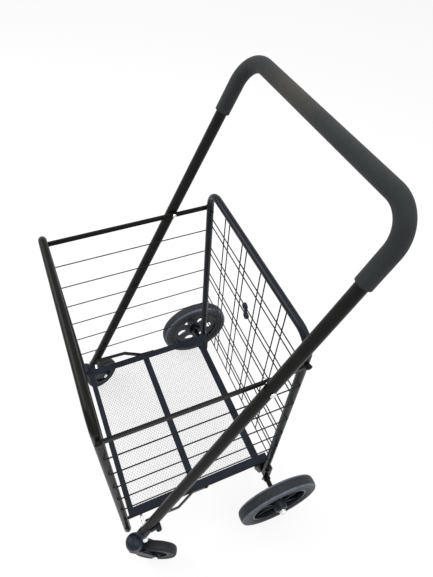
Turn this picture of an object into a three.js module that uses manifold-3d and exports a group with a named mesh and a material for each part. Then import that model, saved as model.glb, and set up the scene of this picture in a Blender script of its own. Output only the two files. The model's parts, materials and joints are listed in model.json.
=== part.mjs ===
// Folding shopping cart, millimetres, +Z up, casters towards -Y, handle towards +Y.
// The basket is a parallelogram: the side rails, the side wires and the tray all turn
// about the rear frame, and the front frame rises and closes against it.
import * as THREE from 'three';
import { mergeVertices } from 'three/addons/utils/BufferGeometryUtils.js';
import Module from 'manifold-3d';

const wasm = await Module();
wasm.setup();

// Rear wheels
const WHEEL_R = 102;
const WHEEL_WIDE = 31;
const WHEEL_OUT = 72;            // from an upright's middle to its wheel's middle
const TYRE_TALL = 28;
const RIM_R = WHEEL_R - TYRE_TALL;
const WHEEL_SEGMENTS = 20;
const AXLE_R = 4.5;
const AXLE_PAST_WHEEL = 30;
const SLEEVE_R = 6;
const SLEEVE_PLAY = 0.8;
const CAP_TALL = 5;
const WHEEL_HOLES = 6;
const WHEEL_HOLE_SHARE = 0.28;   // hole radius as a share of the disc's width
const RIM_WALL = 6;
const RIM_BOSS_R = 17;
const RIM_BOSS_IN = 2;
const RIM_BOSS_OUT = 8;          // how far the boss stands out past the tyre's side
const RIM_DISC = 4;              // thickness of the disc, set back by as much again

// Basket frames
const HALF_WIDTH = 209;          // middle of the frame to the middle of an upright
const DEPTH = 356;               // rear upright to front upright
const REAR_Y = 134;
const FRONT_Y = REAR_Y - DEPTH;
const FRAME_TUBE_R = 8;
const REAR_BEND_R = 40;
const FRONT_BEND_R = 28;
const FRAME_SIDES = 10;
const FRAME_BEND_STEPS = 6;
const WHEEL_X = HALF_WIDTH + WHEEL_OUT;
const AXLE_END = WHEEL_X + AXLE_PAST_WHEEL;

// Axle brackets at the rear uprights' feet
const BRACKET_WALL = 2.8;
const BRACKET_ABOVE_AXLE = 48;
const BRACKET_BELOW_AXLE = 14;
const BRACKET_TOP_Z = WHEEL_R + BRACKET_ABOVE_AXLE;
const BRACKET_BOLTS = [-22, -8];  // below the bracket's top
const GUSSET_REACH = 28;         // how far the bracket's inner wall reaches to the front
const GUSSET_FOOT = 9;

// Levels that turn together: top rail, side wires, tray
const LEVEL_STEP = 67.5;
const WIRE_LEVELS = 6;
const TRAY_ABOVE_BRACKET = 14.5;
const TRAY_PIVOT_Z = BRACKET_TOP_Z + TRAY_ABOVE_BRACKET;
const RAIL_Z = TRAY_PIVOT_Z + (WIRE_LEVELS + 1) * LEVEL_STEP;

// The frames' tops above the rails, and their feet
const REAR_ABOVE_RAIL = 55;
const FRONT_ABOVE_RAIL = 39;
const REAR_FOOT_ABOVE_AXLE = 10;
const FRONT_BELOW_TRAY = 40.5;
const REAR_TOP_Z = RAIL_Z + REAR_ABOVE_RAIL;
const FRONT_TOP_Z = RAIL_Z + FRONT_ABOVE_RAIL;
const REAR_FOOT_Z = WHEEL_R + REAR_FOOT_ABOVE_AXLE;
const FRONT_FOOT_Z = TRAY_PIVOT_Z - FRONT_BELOW_TRAY;

const FIT = 0.3;                 // gap between pieces that touch in the real cart
const HOLE_PLAY = 0.3;           // how much wider a hole is than its bolt
const UPRIGHT_FACE = HALF_WIDTH + FRAME_TUBE_R;
const RAIL_THICK = 4.5;
const RAIL_TALL = 10;
const RAIL_IN = UPRIGHT_FACE + FIT;
const BOLT_R = 3;
const WIRE_R = 1.5;
const WIRE_BEND_R = 2.6;
const WIRE_PIN_LENGTH = 5;       // how far a wire end reaches into its upright
const WIRE_PLAY = 0.4;

// Wire panels of the two frames
const PANEL_COLUMNS = 4;
const PANEL_SIDE_GAP = 9;
const PANEL_COLUMN_STEP = 2 * (HALF_WIDTH - PANEL_SIDE_GAP) / (PANEL_COLUMNS + 1);
const PANEL_PAIR_GAP = 20;
const PANEL_ROWS = 5;
const PANEL_ROW_BELOW_RAIL = 20.5;
const PANEL_FOOT_ABOVE_TRAY = 49.5;
const PANEL_FOOT_GAP = 54;       // from the lowest pair of rows to the panel's foot
const PANEL_FIRST_ROW_Z = RAIL_Z - PANEL_ROW_BELOW_RAIL;
const PANEL_FOOT_Z = TRAY_PIVOT_Z + PANEL_FOOT_ABOVE_TRAY;
const PANEL_ROW_STEP = (PANEL_FIRST_ROW_Z - PANEL_FOOT_Z - PANEL_FOOT_GAP) / (PANEL_ROWS - 1);
const PANEL_STUB = 9;
const PANEL_WELD_SINK = 0.7;     // how deep crossing wires are welded into each other
const PANEL_WIRE_SIDES = 4;

// Latch clip on the second pair of rows
const CLIP_R = 8;
const CLIP_X = 3;
const CLIP_LEAN = 5;             // each half sits this far to the side of the middle
const CLIP_DEEP = 7;
const CLIP_NECK = 7;

// Tray
const TRAY_BAR_GAP = 0.4;
const TRAY_BAR_THICK = 3.7;
const TRAY_BAR_TALL = 14;
const TRAY_BAR_OUT = HALF_WIDTH - FRAME_TUBE_R - TRAY_BAR_GAP;
const TRAY_SET_IN = 1.6;         // the plate's edge inside the bar's outer face
const TRAY_HALF = TRAY_BAR_OUT - TRAY_SET_IN;
const TRAY_LIFT = 0.5;           // the plate's top above the bars
const TRAY_TOP_Z = TRAY_PIVOT_Z + TRAY_BAR_TALL / 2 + TRAY_LIFT;
const TRAY_PLATE = 3;
const TRAY_SIDE_STRIP = 16;
const TRAY_STRIP = 16;
const TRAY_FRONT_STRIP = 13;
const TRAY_REAR_GAP = 8;
const TRAY_FRONT_GAP = 3;
const TRAY_REAR_Y = REAR_Y - FRAME_TUBE_R - TRAY_REAR_GAP;
const TRAY_FRONT_Y = FRONT_Y + FRAME_TUBE_R + TRAY_FRONT_GAP;
const TRAY_TAB_PAST = 5;         // the side strips reach past the rear uprights' middles
const TRAY_MID_FORWARD = 4.5;
const TRAY_MID_Y = (TRAY_FRONT_Y + TRAY_REAR_Y) / 2 - TRAY_MID_FORWARD;
const MESH_THICK = 1.6;
const MESH_COLUMNS = 6;
const MESH_ROWS = 3;
const MESH_RIB = 4;
const MESH_SINK = 0.7;           // mesh sheet above the tray plate's underside

// Handle, a U tube that leans back
const DEG = Math.PI / 180;
const HANDLE_R = 11;
const HANDLE_SIDES = 12;
const HANDLE_RAIL_GAP = 1.8;
const HANDLE_HALF = RAIL_IN + RAIL_THICK + HANDLE_RAIL_GAP + HANDLE_R;
const HANDLE_LEAN = 26.34 * DEG;  // from upright
const HANDLE_ABOVE_RAIL = 316;
const HANDLE_BELOW_TRAY = 14.5;
const HANDLE_TOP_Z = RAIL_Z + HANDLE_ABOVE_RAIL;
const HANDLE_FOOT_Z = TRAY_PIVOT_Z - HANDLE_BELOW_TRAY;
const HANDLE_FOOT_BACK = 34.3;   // the leg's foot behind the front uprights' middles
const HANDLE_SLOPE = Math.tan(HANDLE_LEAN);
const HANDLE_PIVOT_Y = FRONT_Y + HANDLE_FOOT_BACK + (RAIL_Z - HANDLE_FOOT_Z) * HANDLE_SLOPE;
const HANDLE_BEND_R = 56;
const GRIP_R = 14.5;
const GRIP_PAST_BEND = 57;
const GRIP_REACH = HANDLE_BEND_R + GRIP_PAST_BEND;  // from the top bar down each leg
const handleY = (z) => HANDLE_PIVOT_Y + (z - RAIL_Z) * HANDLE_SLOPE;

// Links between tray and handle
const LINK_THICK = 2.6;
const LINK_WIDE = 12;
const LINK_BEHIND_MIDDLE = 25;
const LINK_ABOVE_TRAY = 10.5;
const LINK_STRAIGHT = 36;        // flat part next to the tray's pivot
const LINK_JOGGLE_LONG = 42;
const LINK_TRAY_Y = TRAY_MID_Y + LINK_BEHIND_MIDDLE;
const LINK_HANDLE_Z = TRAY_PIVOT_Z + LINK_ABOVE_TRAY;
const LINK_JOGGLE_FROM_Y = LINK_TRAY_Y - LINK_STRAIGHT;
const LINK_JOGGLE_TO_Y = LINK_JOGGLE_FROM_Y - LINK_JOGGLE_LONG;
const TAB_WIDE = 14;
const TAB_THICK = 3.6;
const TAB_GAP = 0.6;
const TAB_ROOT = [4, 10];        // the tab's two ends, behind and above its bolt
const TAB_TIP = [17, -6];

// Casters
const CASTER_R = 50;
const CASTER_WIDE = 23;
const CASTER_TRAIL = 46;
const CASTER_SEGMENTS = 16;
const CASTER_OUT = 5.4;          // the swivel outside the leg's middle
const SWIVEL_TURN = 25 * DEG;    // both casters trail outwards
const HOUSING_R = 20;
const HOUSING_TALL = 31;
const HOUSING_ABOVE_TYRE = 3;
const HOUSING_FLOOR_Z = 2 * CASTER_R + HOUSING_ABOVE_TYRE;
const COLLAR_WALL = 1.5;
const COLLAR_FOOT = 15;          // the collar's end above the housing's floor
const SWIVEL_FORWARD = 12.45;
const COLLAR_LONG = (HANDLE_FOOT_Z - HOUSING_FLOOR_Z - COLLAR_FOOT) / Math.cos(HANDLE_LEAN);
const SWIVEL_X = HANDLE_HALF + CASTER_OUT;
const SWIVEL_Y = handleY(HOUSING_FLOOR_Z + COLLAR_FOOT) - SWIVEL_FORWARD;
const CASTER_AXLE_R = 4;
const CASTER_CORE = 0.68;        // rim of the caster's hub as a share of its radius
const CASTER_BOSS_WALL = 5;
const FORK_PLAY = 1.6;           // between tyre and fork cheek
const FORK_CHEEK = 3.5;
const FORK_CLEAR = 4;            // how far the fork's neck dips beside the wheel's top
const RIVET_BELOW_FOOT = 19;
const RIVET_BACK = 5.1;
const RIVET_Z = HANDLE_FOOT_Z - RIVET_BELOW_FOOT;
const RIVET_Y = handleY(RIVET_Z) + RIVET_BACK;

const BLACK = 0x1b1c1f;
const material = (color, roughness, metalness) =>
  new THREE.MeshStandardMaterial({ color, roughness, metalness });
const paint = () => material(BLACK, 0.42, 0.25);
const wirePaint = () => material(0x26272a, 0.5, 0.25);
const trayPaint = () => material(0x262a31, 0.6, 0.2);
const plastic = () => material(0x242a31, 0.5, 0);
const rubber = () => material(0x33363a, 0.85, 0);
const foam = () => material(0x2a2d2e, 0.95, 0);
const steel = () => material(0xc4c8cc, 0.25, 1);

const group = new THREE.Group();
group.name = 'folding_shopping_cart';
const V = (x, y, z) => new THREE.Vector3(x, y, z);
const SIDES = { right: 1, left: -1 };   // right is +X

function add(name, geometry, mat, parent = group) {
  const mesh = new THREE.Mesh(geometry, mat);
  mesh.name = name;
  parent.add(mesh);
  return mesh;
}

// Booleans

function toSolid(geometry) {
  const bare = new THREE.BufferGeometry();
  const source = geometry.index ? geometry.toNonIndexed() : geometry;
  bare.setAttribute('position', source.getAttribute('position'));
  const welded = mergeVertices(bare, 1e-4);
  const triangles = [];
  const index = welded.index.array;
  for (let i = 0; i < index.length; i += 3) {
    const [a, b, c] = [index[i], index[i + 1], index[i + 2]];
    if (a !== b && b !== c && c !== a) triangles.push(a, b, c);
  }
  return new wasm.Manifold(new wasm.Mesh({
    numProp: 3,
    vertProperties: new Float32Array(welded.getAttribute('position').array),
    triVerts: new Uint32Array(triangles),
  }));
}

function toGeometry(solid) {
  const mesh = solid.getMesh();
  const geometry = new THREE.BufferGeometry();
  geometry.setAttribute('position', new THREE.BufferAttribute(mesh.vertProperties, 3));
  geometry.setIndex(new THREE.BufferAttribute(mesh.triVerts, 1));
  const flat = geometry.toNonIndexed();
  flat.computeVertexNormals();
  return flat;
}

const fuse = (...parts) => toGeometry(parts.map(toSolid).reduce((a, b) => a.add(b)));
const drill = (body, tools) =>
  toGeometry(tools.map(toSolid).reduce((a, b) => a.subtract(b), toSolid(body)));

// Basic shapes

// A round rod between two points.
function rod(from, to, radius, sides = 12) {
  const axis = to.clone().sub(from);
  const geometry = new THREE.CylinderGeometry(radius, radius, axis.length(), sides);
  geometry.applyQuaternion(
    new THREE.Quaternion().setFromUnitVectors(V(0, 1, 0), axis.clone().normalize()));
  const middle = from.clone().add(to).multiplyScalar(0.5);
  return geometry.translate(middle.x, middle.y, middle.z);
}

// A hole tool along X through one side of the cart.
const holeX = (side, fromX, toX, y, z, radius, sides = 8) =>
  rod(V(side * fromX, y, z), V(side * toX, y, z), radius, sides);

// A path of straight runs joined by round bends, sampled only where it turns.
class BentPath extends THREE.Curve {
  constructor(corners, bendRadius, bendSteps) {
    super();
    this.stations = [corners[0]];
    for (let i = 1; i < corners.length - 1; i++) {
      this.addBend(corners[i - 1], corners[i], corners[i + 1], bendRadius, bendSteps);
    }
    this.stations.push(corners[corners.length - 1]);
  }

  addBend(before, corner, after, radius, steps) {
    const inward = before.clone().sub(corner).normalize();
    const outward = after.clone().sub(corner).normalize();
    const half = inward.angleTo(outward) / 2;
    const reach = radius / Math.tan(half);
    const towards = inward.clone().add(outward).normalize();
    const centre = corner.clone().addScaledVector(towards, radius / Math.sin(half));
    const first = corner.clone().addScaledVector(inward, reach).sub(centre);
    const turn = new THREE.Vector3().crossVectors(outward, inward).normalize();
    for (let i = 0; i <= steps; i++) {
      const angle = (Math.PI - 2 * half) * (i / steps);
      this.stations.push(first.clone().applyAxisAngle(turn, angle).add(centre));
    }
  }

  get steps() { return this.stations.length - 1; }

  getPointAt(u) { return this.stations[Math.round(u * this.steps)].clone(); }

  getPoint(t) { return this.getPointAt(t); }

  getTangentAt(u) {
    const i = Math.round(u * this.steps);
    const ahead = this.stations[Math.min(i + 1, this.steps)].clone();
    const back = this.stations[Math.max(i - 1, 0)];
    const here = this.stations[i];
    const sum = ahead.sub(here).normalize();
    return sum.add(here.clone().sub(back).normalize()).normalize();
  }

  getSpacedPoints() { return this.stations.map((p) => p.clone()); }
}

function bentTube(corners, bendRadius, radius, { sides = 16, bendSteps = 6, bore = 0 } = {}) {
  const section = new THREE.Shape().absarc(0, 0, radius, 0, 2 * Math.PI);
  if (bore > 0) section.holes.push(new THREE.Path().absarc(0, 0, bore, 0, 2 * Math.PI, true));
  const path = new BentPath(corners, bendRadius, bendSteps);
  return new THREE.ExtrudeGeometry(section,
    { steps: path.steps, extrudePath: path, curveSegments: sides / 2 });
}

// A flat bar with round ends through two points of the YZ plane, thick along X.
function flatBar(a, b, wide, innerX, thick, side) {
  const run = new THREE.Vector2(b.y - a.y, b.z - a.z);
  const shape = new THREE.Shape();
  shape.absarc(0, 0, wide / 2, Math.PI / 2, 1.5 * Math.PI);
  shape.absarc(run.length(), 0, wide / 2, -Math.PI / 2, Math.PI / 2);
  const bar = new THREE.ExtrudeGeometry(shape, { depth: thick, bevelEnabled: false, curveSegments: 4 });
  bar.applyMatrix4(new THREE.Matrix4().makeBasis(V(0, 1, 0), V(0, 0, 1), V(1, 0, 0)));
  bar.rotateX(run.angle());
  return bar.translate(side > 0 ? innerX : -innerX - thick, a.y, a.z);
}

// A rivet or bolt along X: a head outside and, unless endR is 0, a smaller one inside.
function pin(side, innerX, outerX, y, z, { headR = 6, headTall = 3, endR = 5, endTall = 2.5 } = {}) {
  const long = outerX - innerX;
  const inside = endR > 0 ? [[0, -endTall], [endR * 0.8, -endTall], [endR, 0]] : [[0, 0]];
  const profile = [...inside, [BOLT_R, 0], [BOLT_R, long], [headR, long],
    [headR * 0.8, long + headTall], [0, long + headTall]].map(([r, x]) => new THREE.Vector2(r, x));
  const geometry = new THREE.LatheGeometry(profile, 8);
  geometry.rotateZ(-side * Math.PI / 2);
  return geometry.translate(side * innerX, y, z);
}

const wireZ = (level) => RAIL_Z - level * LEVEL_STEP;
const levels = Array.from({ length: WIRE_LEVELS }, (_, i) => i + 1);

// Frames

function frameTube(y, topZ, footZ, bendR) {
  const tube = bentTube([
    V(-HALF_WIDTH, y, footZ), V(-HALF_WIDTH, y, topZ), V(HALF_WIDTH, y, topZ), V(HALF_WIDTH, y, footZ),
  ], bendR, FRAME_TUBE_R, { sides: FRAME_SIDES, bendSteps: FRAME_BEND_STEPS });
  const holes = [];
  for (const side of Object.values(SIDES)) {
    for (const z of [RAIL_Z, TRAY_PIVOT_Z]) {
      holes.push(holeX(side, HALF_WIDTH - FRAME_TUBE_R - 4, UPRIGHT_FACE + 4, y, z, BOLT_R + HOLE_PLAY));
    }
    for (const level of levels) {
      holes.push(holeX(side, UPRIGHT_FACE - WIRE_PIN_LENGTH - 1, UPRIGHT_FACE + 3, y, wireZ(level),
        WIRE_R + HOLE_PLAY, 6));
    }
  }
  return drill(tube, holes);
}

function framePanel(y, topZ, inward) {
  const columnTop = topZ - FRAME_TUBE_R - FIT;
  const rowY = y + inward * (2 * WIRE_R - PANEL_WELD_SINK);
  const wires = [];
  for (let column = 0; column < PANEL_COLUMNS; column++) {
    const middle = (column - (PANEL_COLUMNS - 1) / 2) * PANEL_COLUMN_STEP;
    for (const half of [-0.5, 0.5]) {
      const x = middle + half * PANEL_PAIR_GAP;
      wires.push(rod(V(x, y, PANEL_FOOT_Z - PANEL_STUB), V(x, y, columnTop), WIRE_R, PANEL_WIRE_SIDES));
    }
  }
  const rows = [PANEL_FOOT_Z];
  for (let row = 0; row < PANEL_ROWS; row++) {
    const z = PANEL_FIRST_ROW_Z - row * PANEL_ROW_STEP;
    rows.push(z - PANEL_PAIR_GAP / 2, z + PANEL_PAIR_GAP / 2);
  }
  const reach = HALF_WIDTH - FRAME_TUBE_R - FIT;
  for (const z of rows) wires.push(rod(V(-reach, rowY, z), V(reach, rowY, z), WIRE_R, PANEL_WIRE_SIDES));
  return fuse(...wires);
}

function frameBolts(frame, y) {
  for (const [label, side] of Object.entries(SIDES)) {
    add(`${frame}_rail_bolt_${label}`, pin(side, HALF_WIDTH - FRAME_TUBE_R - FIT,
      RAIL_IN + RAIL_THICK + FIT, y, RAIL_Z), paint());
    add(`${frame}_tray_bolt_${label}`, pin(side, TRAY_BAR_OUT - TRAY_BAR_THICK - FIT,
      UPRIGHT_FACE + FIT, y, TRAY_PIVOT_Z, { headR: 5.5, endR: 4.2 }), paint());
  }
}

// The bracket at an upright's foot: a channel around the tube that carries the axle's
// sleeve, with its inner wall drawn out to the front under the tray.
function axleBracket(side) {
  const gap = FRAME_TUBE_R + FIT;
  const outer = gap + BRACKET_WALL;
  const front = -outer + 2;
  const shape = new THREE.Shape([
    [-outer, front], [-gap, front], [-gap, gap], [gap, gap], [gap, front], [outer, front],
    [outer, outer], [-outer, outer],
  ].map(([x, y]) => new THREE.Vector2(x, y)));
  const bottom = WHEEL_R - BRACKET_BELOW_AXLE;
  const tall = BRACKET_TOP_Z - bottom;
  const channel = new THREE.ExtrudeGeometry(shape, { depth: tall, bevelEnabled: false });
  channel.translate(side * HALF_WIDTH, REAR_Y, bottom);
  const gusset = new THREE.ExtrudeGeometry(new THREE.Shape([
    [-GUSSET_REACH, tall], [-GUSSET_REACH, tall * 0.8], [-GUSSET_FOOT, 0], [0, 0], [0, tall],
  ].map(([y, z]) => new THREE.Vector2(y, z))), { depth: BRACKET_WALL, bevelEnabled: false });
  gusset.applyMatrix4(new THREE.Matrix4().makeBasis(V(0, 1, 0), V(0, 0, 1), V(1, 0, 0)));
  const inner = HALF_WIDTH - (side > 0 ? outer : gap);
  gusset.translate(side * inner, REAR_Y, bottom);
  const drilled = drill(fuse(channel, gusset), [holeX(side, HALF_WIDTH - outer - 5,
    HALF_WIDTH + outer + 5, REAR_Y, WHEEL_R, SLEEVE_R + HOLE_PLAY, 16)]);
  const heads = BRACKET_BOLTS.map((drop) => holeX(side, HALF_WIDTH + gap + 1, HALF_WIDTH + outer + 1.6,
    REAR_Y, BRACKET_TOP_Z + drop, 4.2));
  return fuse(drilled, ...heads);
}

// The axle: a sleeve between the wheels with the bare rod's ends through their hubs.
function axle() {
  const sleeve = WHEEL_X - WHEEL_WIDE / 2 - RIM_BOSS_IN - SLEEVE_PLAY;
  return spun([[0, -AXLE_END], [AXLE_R, -AXLE_END], [AXLE_R, -sleeve], [SLEEVE_R, -sleeve],
    [SLEEVE_R, sleeve], [AXLE_R, sleeve], [AXLE_R, AXLE_END], [0, AXLE_END]], 12)
    .translate(0, REAR_Y, WHEEL_R);
}

// Latch clip around the second pair of the rear panel's rows: two round halves, one a
// little to each side, with a neck between them.
function latchClip() {
  const rowY = REAR_Y - 2 * WIRE_R + PANEL_WELD_SINK;
  const middle = PANEL_FIRST_ROW_Z - PANEL_ROW_STEP;
  const along = V(-CLIP_LEAN, 0, PANEL_PAIR_GAP / 2);
  const half = V(0, CLIP_DEEP / 2, 0);
  const solids = [];
  const grooves = [];
  for (const end of [1, -1]) {
    const centre = V(CLIP_X, rowY, middle).addScaledVector(along, end);
    solids.push(rod(centre.clone().sub(half), centre.clone().add(half), CLIP_R));
    grooves.push(holeX(1, CLIP_X - 3 * CLIP_R, CLIP_X + 3 * CLIP_R, rowY, centre.z, WIRE_R + HOLE_PLAY));
  }
  const neck = new THREE.BoxGeometry(CLIP_NECK, CLIP_DEEP - 2, 2 * along.length());
  neck.rotateY(-Math.atan2(CLIP_LEAN, PANEL_PAIR_GAP / 2));
  solids.push(neck.translate(CLIP_X, rowY, middle));
  return drill(fuse(...solids), grooves);
}

// Side rails and wires

function topRail(side) {
  const y = [FRONT_Y, REAR_Y, HANDLE_PIVOT_Y];
  const bar = flatBar(V(0, FRONT_Y, RAIL_Z), V(0, REAR_Y, RAIL_Z), RAIL_TALL, RAIL_IN, RAIL_THICK, side);
  return drill(bar, y.map((at) => holeX(side, RAIL_IN - 2, RAIL_IN + RAIL_THICK + 2, at, RAIL_Z,
    BOLT_R + HOLE_PLAY)));
}

function sideWire(side, level) {
  const x = side * (UPRIGHT_FACE + WIRE_PLAY + WIRE_R);
  const pinX = side * (UPRIGHT_FACE - WIRE_PIN_LENGTH);
  const z = wireZ(level);
  return bentTube([V(pinX, FRONT_Y, z), V(x, FRONT_Y, z), V(x, REAR_Y, z), V(pinX, REAR_Y, z)],
    WIRE_BEND_R, WIRE_R, { sides: 6, bendSteps: 2 });
}

// Tray

const trayWindows = [
  [TRAY_FRONT_Y + TRAY_FRONT_STRIP, TRAY_MID_Y - TRAY_STRIP / 2],
  [TRAY_MID_Y + TRAY_STRIP / 2, TRAY_REAR_Y - TRAY_STRIP],
];
const windowHalf = TRAY_HALF - TRAY_SIDE_STRIP;
const rectangle = (halfX, y0, y1, Kind = THREE.Shape) => new Kind(
  [[-halfX, y0], [halfX, y0], [halfX, y1], [-halfX, y1]].map(([x, y]) => new THREE.Vector2(x, y)));

function trayFrame() {
  const plate = rectangle(TRAY_HALF, TRAY_FRONT_Y, TRAY_REAR_Y);
  for (const [y0, y1] of trayWindows) plate.holes.push(rectangle(windowHalf, y0, y1, THREE.Path));
  const sheet = new THREE.ExtrudeGeometry(plate, { depth: TRAY_PLATE, bevelEnabled: false });
  sheet.translate(0, 0, TRAY_TOP_Z - TRAY_PLATE);
  const tabLong = REAR_Y + TRAY_TAB_PAST - TRAY_REAR_Y + 2;
  const tabs = Object.values(SIDES).map((side) =>
    new THREE.BoxGeometry(TRAY_SIDE_STRIP, tabLong, TRAY_PLATE).translate(
      side * (TRAY_HALF - TRAY_SIDE_STRIP / 2), TRAY_REAR_Y - 2 + tabLong / 2,
      TRAY_TOP_Z - TRAY_PLATE / 2));
  const bars = Object.values(SIDES).map((side) => flatBar(V(0, FRONT_Y, TRAY_PIVOT_Z),
    V(0, REAR_Y, TRAY_PIVOT_Z), TRAY_BAR_TALL, TRAY_BAR_OUT - TRAY_BAR_THICK, TRAY_BAR_THICK, side));
  const holes = Object.values(SIDES).flatMap((side) => [FRONT_Y, REAR_Y, LINK_TRAY_Y].map((y) =>
    holeX(side, TRAY_BAR_OUT - 6, TRAY_BAR_OUT + 3, y, TRAY_PIVOT_Z, BOLT_R + HOLE_PLAY)));
  return drill(fuse(sheet, ...tabs, ...bars), holes);
}

// An expanded-metal sheet: rows of diamond gaps, staggered, inside one tray window.
function trayMesh([y0, y1]) {
  const half = windowHalf - FIT;
  const sheet = rectangle(half, y0 + FIT, y1 - FIT);
  const columnStep = (2 * half - MESH_RIB) / (MESH_COLUMNS + 0.5);
  const rowStep = (y1 - y0 - 2 * FIT - MESH_RIB) / MESH_ROWS;
  const halfX = columnStep / 2 - MESH_RIB / 2;
  const halfY = rowStep / 2 - MESH_RIB / 2;
  for (let row = 0; row < MESH_ROWS; row++) {
    for (let column = 0; column < MESH_COLUMNS; column++) {
      const x = -half + MESH_RIB / 2 + columnStep * (column + 0.5 + (row % 2) / 2);
      const y = y0 + FIT + MESH_RIB / 2 + rowStep * (row + 0.5);
      sheet.holes.push(new THREE.Path([[x - halfX, y], [x, y - halfY], [x + halfX, y], [x, y + halfY]]
        .map(([a, b]) => new THREE.Vector2(a, b))));
    }
  }
  const geometry = new THREE.ExtrudeGeometry(sheet, { depth: MESH_THICK, bevelEnabled: false });
  return geometry.translate(0, 0, TRAY_TOP_Z - TRAY_PLATE + MESH_SINK);
}

// Handle

const legDown = V(0, -Math.sin(HANDLE_LEAN), -Math.cos(HANDLE_LEAN));
const legPoint = (side, z) => V(side * HANDLE_HALF, handleY(z), z);

function handleTube() {
  const tube = bentTube([legPoint(-1, HANDLE_FOOT_Z), legPoint(-1, HANDLE_TOP_Z),
    legPoint(1, HANDLE_TOP_Z), legPoint(1, HANDLE_FOOT_Z)], HANDLE_BEND_R, HANDLE_R,
  { sides: HANDLE_SIDES, bendSteps: 6 });
  const holes = Object.values(SIDES).flatMap((side) => [RAIL_Z, LINK_HANDLE_Z].map((z) =>
    holeX(side, HANDLE_HALF - HANDLE_R - 5, HANDLE_HALF + HANDLE_R + 5, handleY(z), z, BOLT_R + HOLE_PLAY)));
  return drill(tube, holes);
}

function grip() {
  const ends = [-1, 1].map((side) =>
    legPoint(side, HANDLE_TOP_Z).addScaledVector(legDown, GRIP_REACH));
  return bentTube([ends[0], legPoint(-1, HANDLE_TOP_Z), legPoint(1, HANDLE_TOP_Z), ends[1]],
    HANDLE_BEND_R, GRIP_R, { sides: HANDLE_SIDES, bendSteps: 6, bore: HANDLE_R + FIT });
}

// The moulded housing at a leg's foot: a collar on the tube and the swivel bearing before it.
function casterHousing(side) {
  const profile = [[0, 0], [1, 0], [1, 0.54], [0.93, 0.75], [0.72, 0.93], [0.35, 1], [0, 1]]
    .map(([r, z]) => new THREE.Vector2(r * HOUSING_R, z * HOUSING_TALL));
  const bearing = new THREE.LatheGeometry(profile, 16);
  bearing.rotateX(Math.PI / 2);
  bearing.translate(side * SWIVEL_X, SWIVEL_Y, HOUSING_FLOOR_Z);
  const foot = legPoint(side, HANDLE_FOOT_Z);
  const collar = rod(foot.clone().addScaledVector(legDown, FIT),
    foot.clone().addScaledVector(legDown, COLLAR_LONG), HANDLE_R + COLLAR_WALL, HANDLE_SIDES);
  const webLong = HOUSING_R + 6;
  const webTall = HOUSING_TALL * 0.6;
  const web = new THREE.BoxGeometry(2 * HANDLE_R, webLong, webTall);
  web.translate(side * (SWIVEL_X - 3), SWIVEL_Y + webLong / 2, HOUSING_FLOOR_Z + 1 + webTall / 2);
  return fuse(bearing, collar, web, rivetHead(side));
}

// The domed head of the rivet that holds the collar on the leg.
function rivetHead(side) {
  const profile = [[0, -1], [6, -1], [6, 0.6], [4.6, 2.6], [2.2, 3.6], [0, 3.8]];
  const dome = new THREE.LatheGeometry(profile.map(([r, x]) => new THREE.Vector2(r, x)), 12);
  dome.rotateZ(-side * Math.PI / 2);
  return dome.translate(side * (HANDLE_HALF + HANDLE_R + COLLAR_WALL), RIVET_Y, RIVET_Z);
}

// The stud on a leg that the tray's side bar rests on while the cart is open.
function restStud(side) {
  const radius = BOLT_R + 0.2;
  const z = TRAY_PIVOT_Z - TRAY_BAR_TALL / 2 - FIT - radius;
  const from = V(side * (TRAY_BAR_OUT - TRAY_BAR_THICK), handleY(z), z);
  const to = V(side * (HANDLE_HALF - HANDLE_R - FIT), handleY(z), z);
  return rod(from, to, radius, 12);
}

// Bolt in the leg's foot with the round tab on the leg's outer face. The link's front end
// lies flat on the leg's inner face and isn't bolted, so that the linkage stays a tree.
function linkBolt(side) {
  const outer = HANDLE_HALF + HANDLE_R + FIT;
  const y = handleY(LINK_HANDLE_Z);
  const shank = pin(side, HANDLE_HALF - HANDLE_R + FIT, outer, y, LINK_HANDLE_Z,
    { headTall: 3.4, endR: 0 });
  const tab = flatBar(V(0, y + TAB_ROOT[0], LINK_HANDLE_Z + TAB_ROOT[1]),
    V(0, y + TAB_TIP[0], LINK_HANDLE_Z + TAB_TIP[1]), TAB_WIDE, outer + TAB_GAP, TAB_THICK, side);
  return fuse(shank, tab);
}

// Link strip: flat on the tray's bar at the back, stepped outwards to pass the upright.
const linkInnerX = TRAY_BAR_OUT + FIT;
const linkOuterX = HANDLE_HALF - HANDLE_R - FIT;

function link(side) {
  const back = V(0, LINK_TRAY_Y, TRAY_PIVOT_Z);
  const front = V(0, handleY(LINK_HANDLE_Z), LINK_HANDLE_Z);
  const past = 20;
  const step = 3;
  const plan = new THREE.Shape([
    [linkInnerX, back.y + past], [linkInnerX, LINK_JOGGLE_FROM_Y],
    [linkOuterX - LINK_THICK, LINK_JOGGLE_TO_Y], [linkOuterX - LINK_THICK, front.y - past],
    [linkOuterX, front.y - past], [linkOuterX, LINK_JOGGLE_TO_Y + step],
    [linkInnerX + LINK_THICK, LINK_JOGGLE_FROM_Y + step], [linkInnerX + LINK_THICK, back.y + past],
  ].map(([x, y]) => new THREE.Vector2(side * x, y)));
  const low = Math.min(back.z, front.z) - past;
  const high = Math.max(back.z, front.z) + past;
  const strip = new THREE.ExtrudeGeometry(plan, { depth: high - low, bevelEnabled: false });
  strip.translate(0, 0, low);
  const outline = flatBar(back, front, LINK_WIDE, linkInnerX - 5, linkOuterX - linkInnerX + 10, side);
  const stepped = toSolid(strip).intersect(toSolid(outline));
  const stud = pin(side, TRAY_BAR_OUT - TRAY_BAR_THICK - FIT, linkInnerX + 1, back.y, back.z,
    { headR: 4.5, headTall: LINK_THICK + 1, endR: 4.6, endTall: 2 });
  return toGeometry(stepped.add(toSolid(stud)));
}

// Casters, built around their swivel axis with the trail along +Y

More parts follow.
